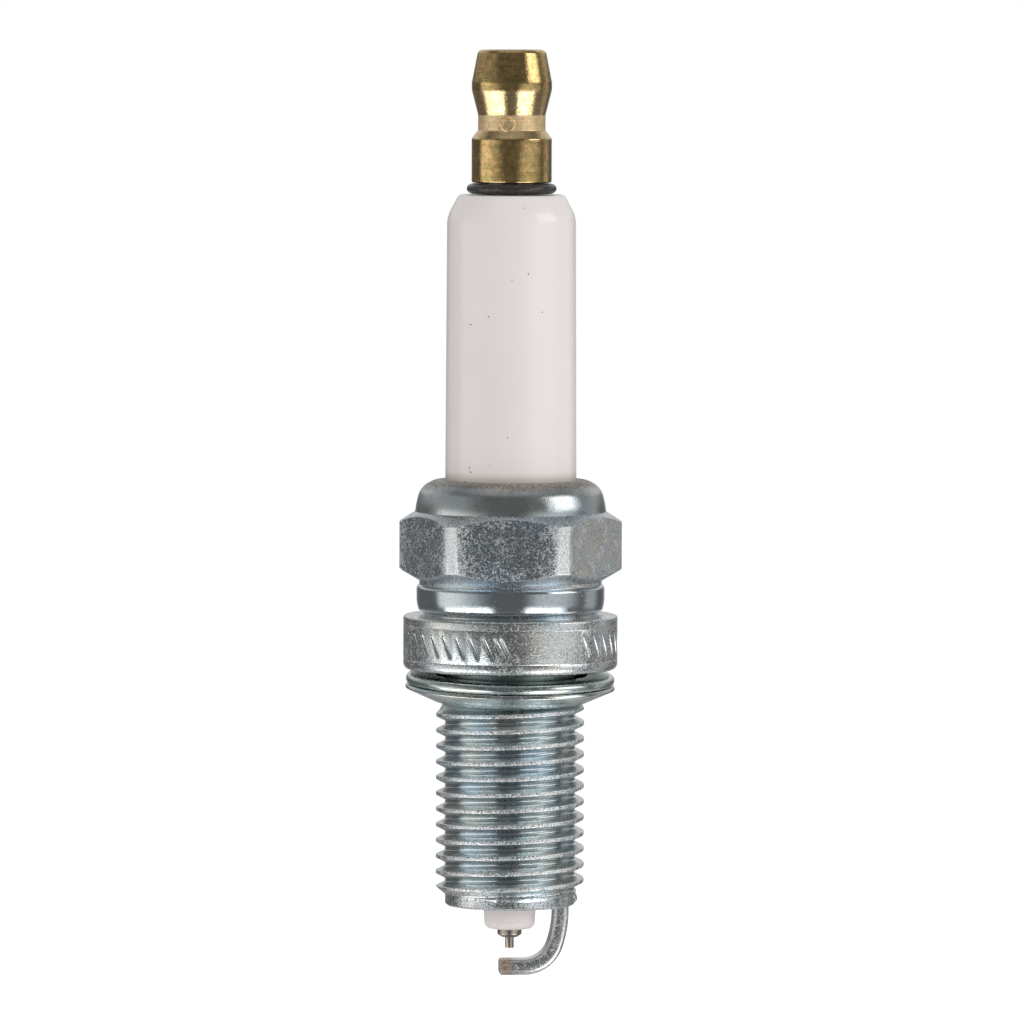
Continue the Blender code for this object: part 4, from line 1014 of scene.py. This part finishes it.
# %% Floor
FLOOR_HEIGHT = -50 * MM
FLOOR_GLOW = 0.5
floor_mesh = bmesh.new()
bmesh.ops.create_grid(floor_mesh, x_segments=1, y_segments=1, size=3.0)
bmesh.ops.translate(floor_mesh, vec=(0, 0, FLOOR_HEIGHT), verts=floor_mesh.verts)
floor = make("floor", floor_mesh)
paper = Finish("white_paper")
paper.set("Base Color", paper.blend(paper.grain(0.002), (0.93, 0.93, 0.93), (0.96, 0.96, 0.96)))
paper.set("Roughness", 0.9)
seen = paper.add("LightPath").outputs["Is Camera Ray"]
paper.set("Emission Color", (1.0, 1.0, 1.0))
paper.set("Emission Strength", paper.sum(seen, FLOOR_GLOW, "MULTIPLY"))
floor.data.materials.append(paper.material)
floor.visible_glossy = False
print("floor lies", round(-FLOOR_HEIGHT / MM), "mm below the flange")

# %% [markdown]
# A bearing of 0 is the camera's side and grows towards the right. Each patch has two soft edges in
# bearing and two in height. Upright faces mirror the boxes at the plug's own level, and faces that
# lean up or down mirror the higher and lower ones. Only mirror rays see the patches: the camera sees
# white paper, and dull surfaces get an even fill from the world and their shading from two lamps at
# the same places as the soft boxes.

# %% World
world = bpy.data.worlds.new("studio")
bpy.context.scene.world = world
world.use_nodes = True
studio = Nodes(world.node_tree)
east, north, up = studio.add("SeparateXYZ", {"Vector": studio.add("TexCoord").outputs["Generated"]}).outputs
bearing = studio.sum(studio.sum(east, studio.sum(north, -1.0, "MULTIPLY"), "ARCTAN2"), operation="DEGREES")
height = studio.sum(studio.sum(up, operation="ARCSINE"), operation="DEGREES")
aside = studio.sum(bearing, operation="ABSOLUTE")


def patch(angle, start, full, fade, end, strength):
    """A light between two soft edges, in degrees."""
    rise = studio.span(angle, start, full, 0.0, strength, soft=True)
    return studio.sum(rise, studio.span(angle, fade, end, 1.0, 0.0, soft=True), "MULTIPLY")


def both(first, second):
    """Where two patches overlap."""
    return studio.sum(first, second, "MULTIPLY")


def total(*lights):
    """All patches together."""
    level = lights[0]
    for light in lights[1:]:
        level = studio.sum(level, light)
    return level


near_level = patch(height, -20, -12, 4, 13, 1.0)
below_level = patch(height, -62, -42, -24, -12, 1.0)
left_box = both(patch(bearing, -106, -91, -80, -16, 0.84), near_level)
right_box = both(patch(bearing, 15, 42, 64, 104, 0.52), near_level)
right_strip = both(patch(bearing, 102, 112, 122, 142, 0.3), near_level)
upper_level = patch(height, 7, 14, 32, 46, 1.0)
right_top = both(patch(bearing, 50, 58, 86, 98, 2.0), upper_level)
left_top = both(patch(bearing, -124, -112, -66, -36, 0.2), upper_level)
low_left = both(patch(bearing, -95, -87, -30, -17, 2.4), patch(height, -48, -36, -24, -12, 1.0))
low_right = both(patch(bearing, 16, 28, 64, 82, 2.6), below_level)
paper_behind = both(studio.span(aside, 154, 174, 0.0, 0.35, soft=True), patch(height, -26, -8, 12, 24, 1.0))
wall_behind = both(studio.span(aside, 92, 150, 0.0, 0.5, soft=True), patch(height, 3, 14, 38, 54, 1.0))
table = both(studio.span(height, -14, -50, 0.0, 0.42, soft=True),
             studio.span(aside, 16, 40, 0.2, 1.0, soft=True))
overhead = studio.span(height, 44, 74, 0.0, 0.28, soft=True)
mirrored = total(left_box, right_box, right_strip, right_top, left_top, low_left, low_right, paper_behind,
                 wall_behind, table, overhead)
DARK_SIDE = 0.135
FILL = 0.68
mirrored = studio.sum(mirrored, DARK_SIDE)
light_path = studio.add("LightPath").outputs
mirror_ray = studio.sum(light_path["Is Glossy Ray"], light_path["Is Transmission Ray"], "MAXIMUM")
even = studio.span(height, 10, 80, FILL, 0.6 * FILL, soft=True)
level = studio.add("Mix", {0: mirror_ray, 2: even, 3: mirrored}).outputs[0]
level = studio.add("Mix", {0: light_path["Is Camera Ray"], 2: level, 3: 1.0}).outputs[0]
background = world.node_tree.nodes["Background"]
background.inputs["Color"].default_value = (1.0, 1.0, 1.0, 1.0)
studio.join(background.inputs["Strength"], level)
print("world has", len(world.node_tree.nodes), "nodes")


# %% Lamps
def soft_lamp(name, bearing, distance, height, width, tall, power):
    """A soft box that faces the plug and shades dull surfaces; bearing 0 is the camera's side."""
    lamp = bpy.data.lights.new(name, "AREA")
    lamp.shape = "RECTANGLE"
    lamp.size = width
    lamp.size_y = tall
    lamp.energy = power
    item = bpy.data.objects.new(name, lamp)
    place = Vector((sin(radians(bearing)) * distance, -cos(radians(bearing)) * distance, height))
    facing = (Vector((0, 0, 10 * MM)) - place).to_track_quat("-Z", "Y").to_matrix().to_4x4()
    item.matrix_world = Matrix.Translation(place) @ facing
    item.visible_glossy = False
    bpy.context.scene.collection.objects.link(item)


soft_lamp("right_lamp", 52, 0.6, 0.15, 0.5, 0.8, 2.1)
soft_lamp("left_lamp", -75, 0.6, 0.02, 0.5, 0.8, 1.2)
print("lamps:", ", ".join(item.name for item in bpy.data.objects if item.type == "LIGHT"))
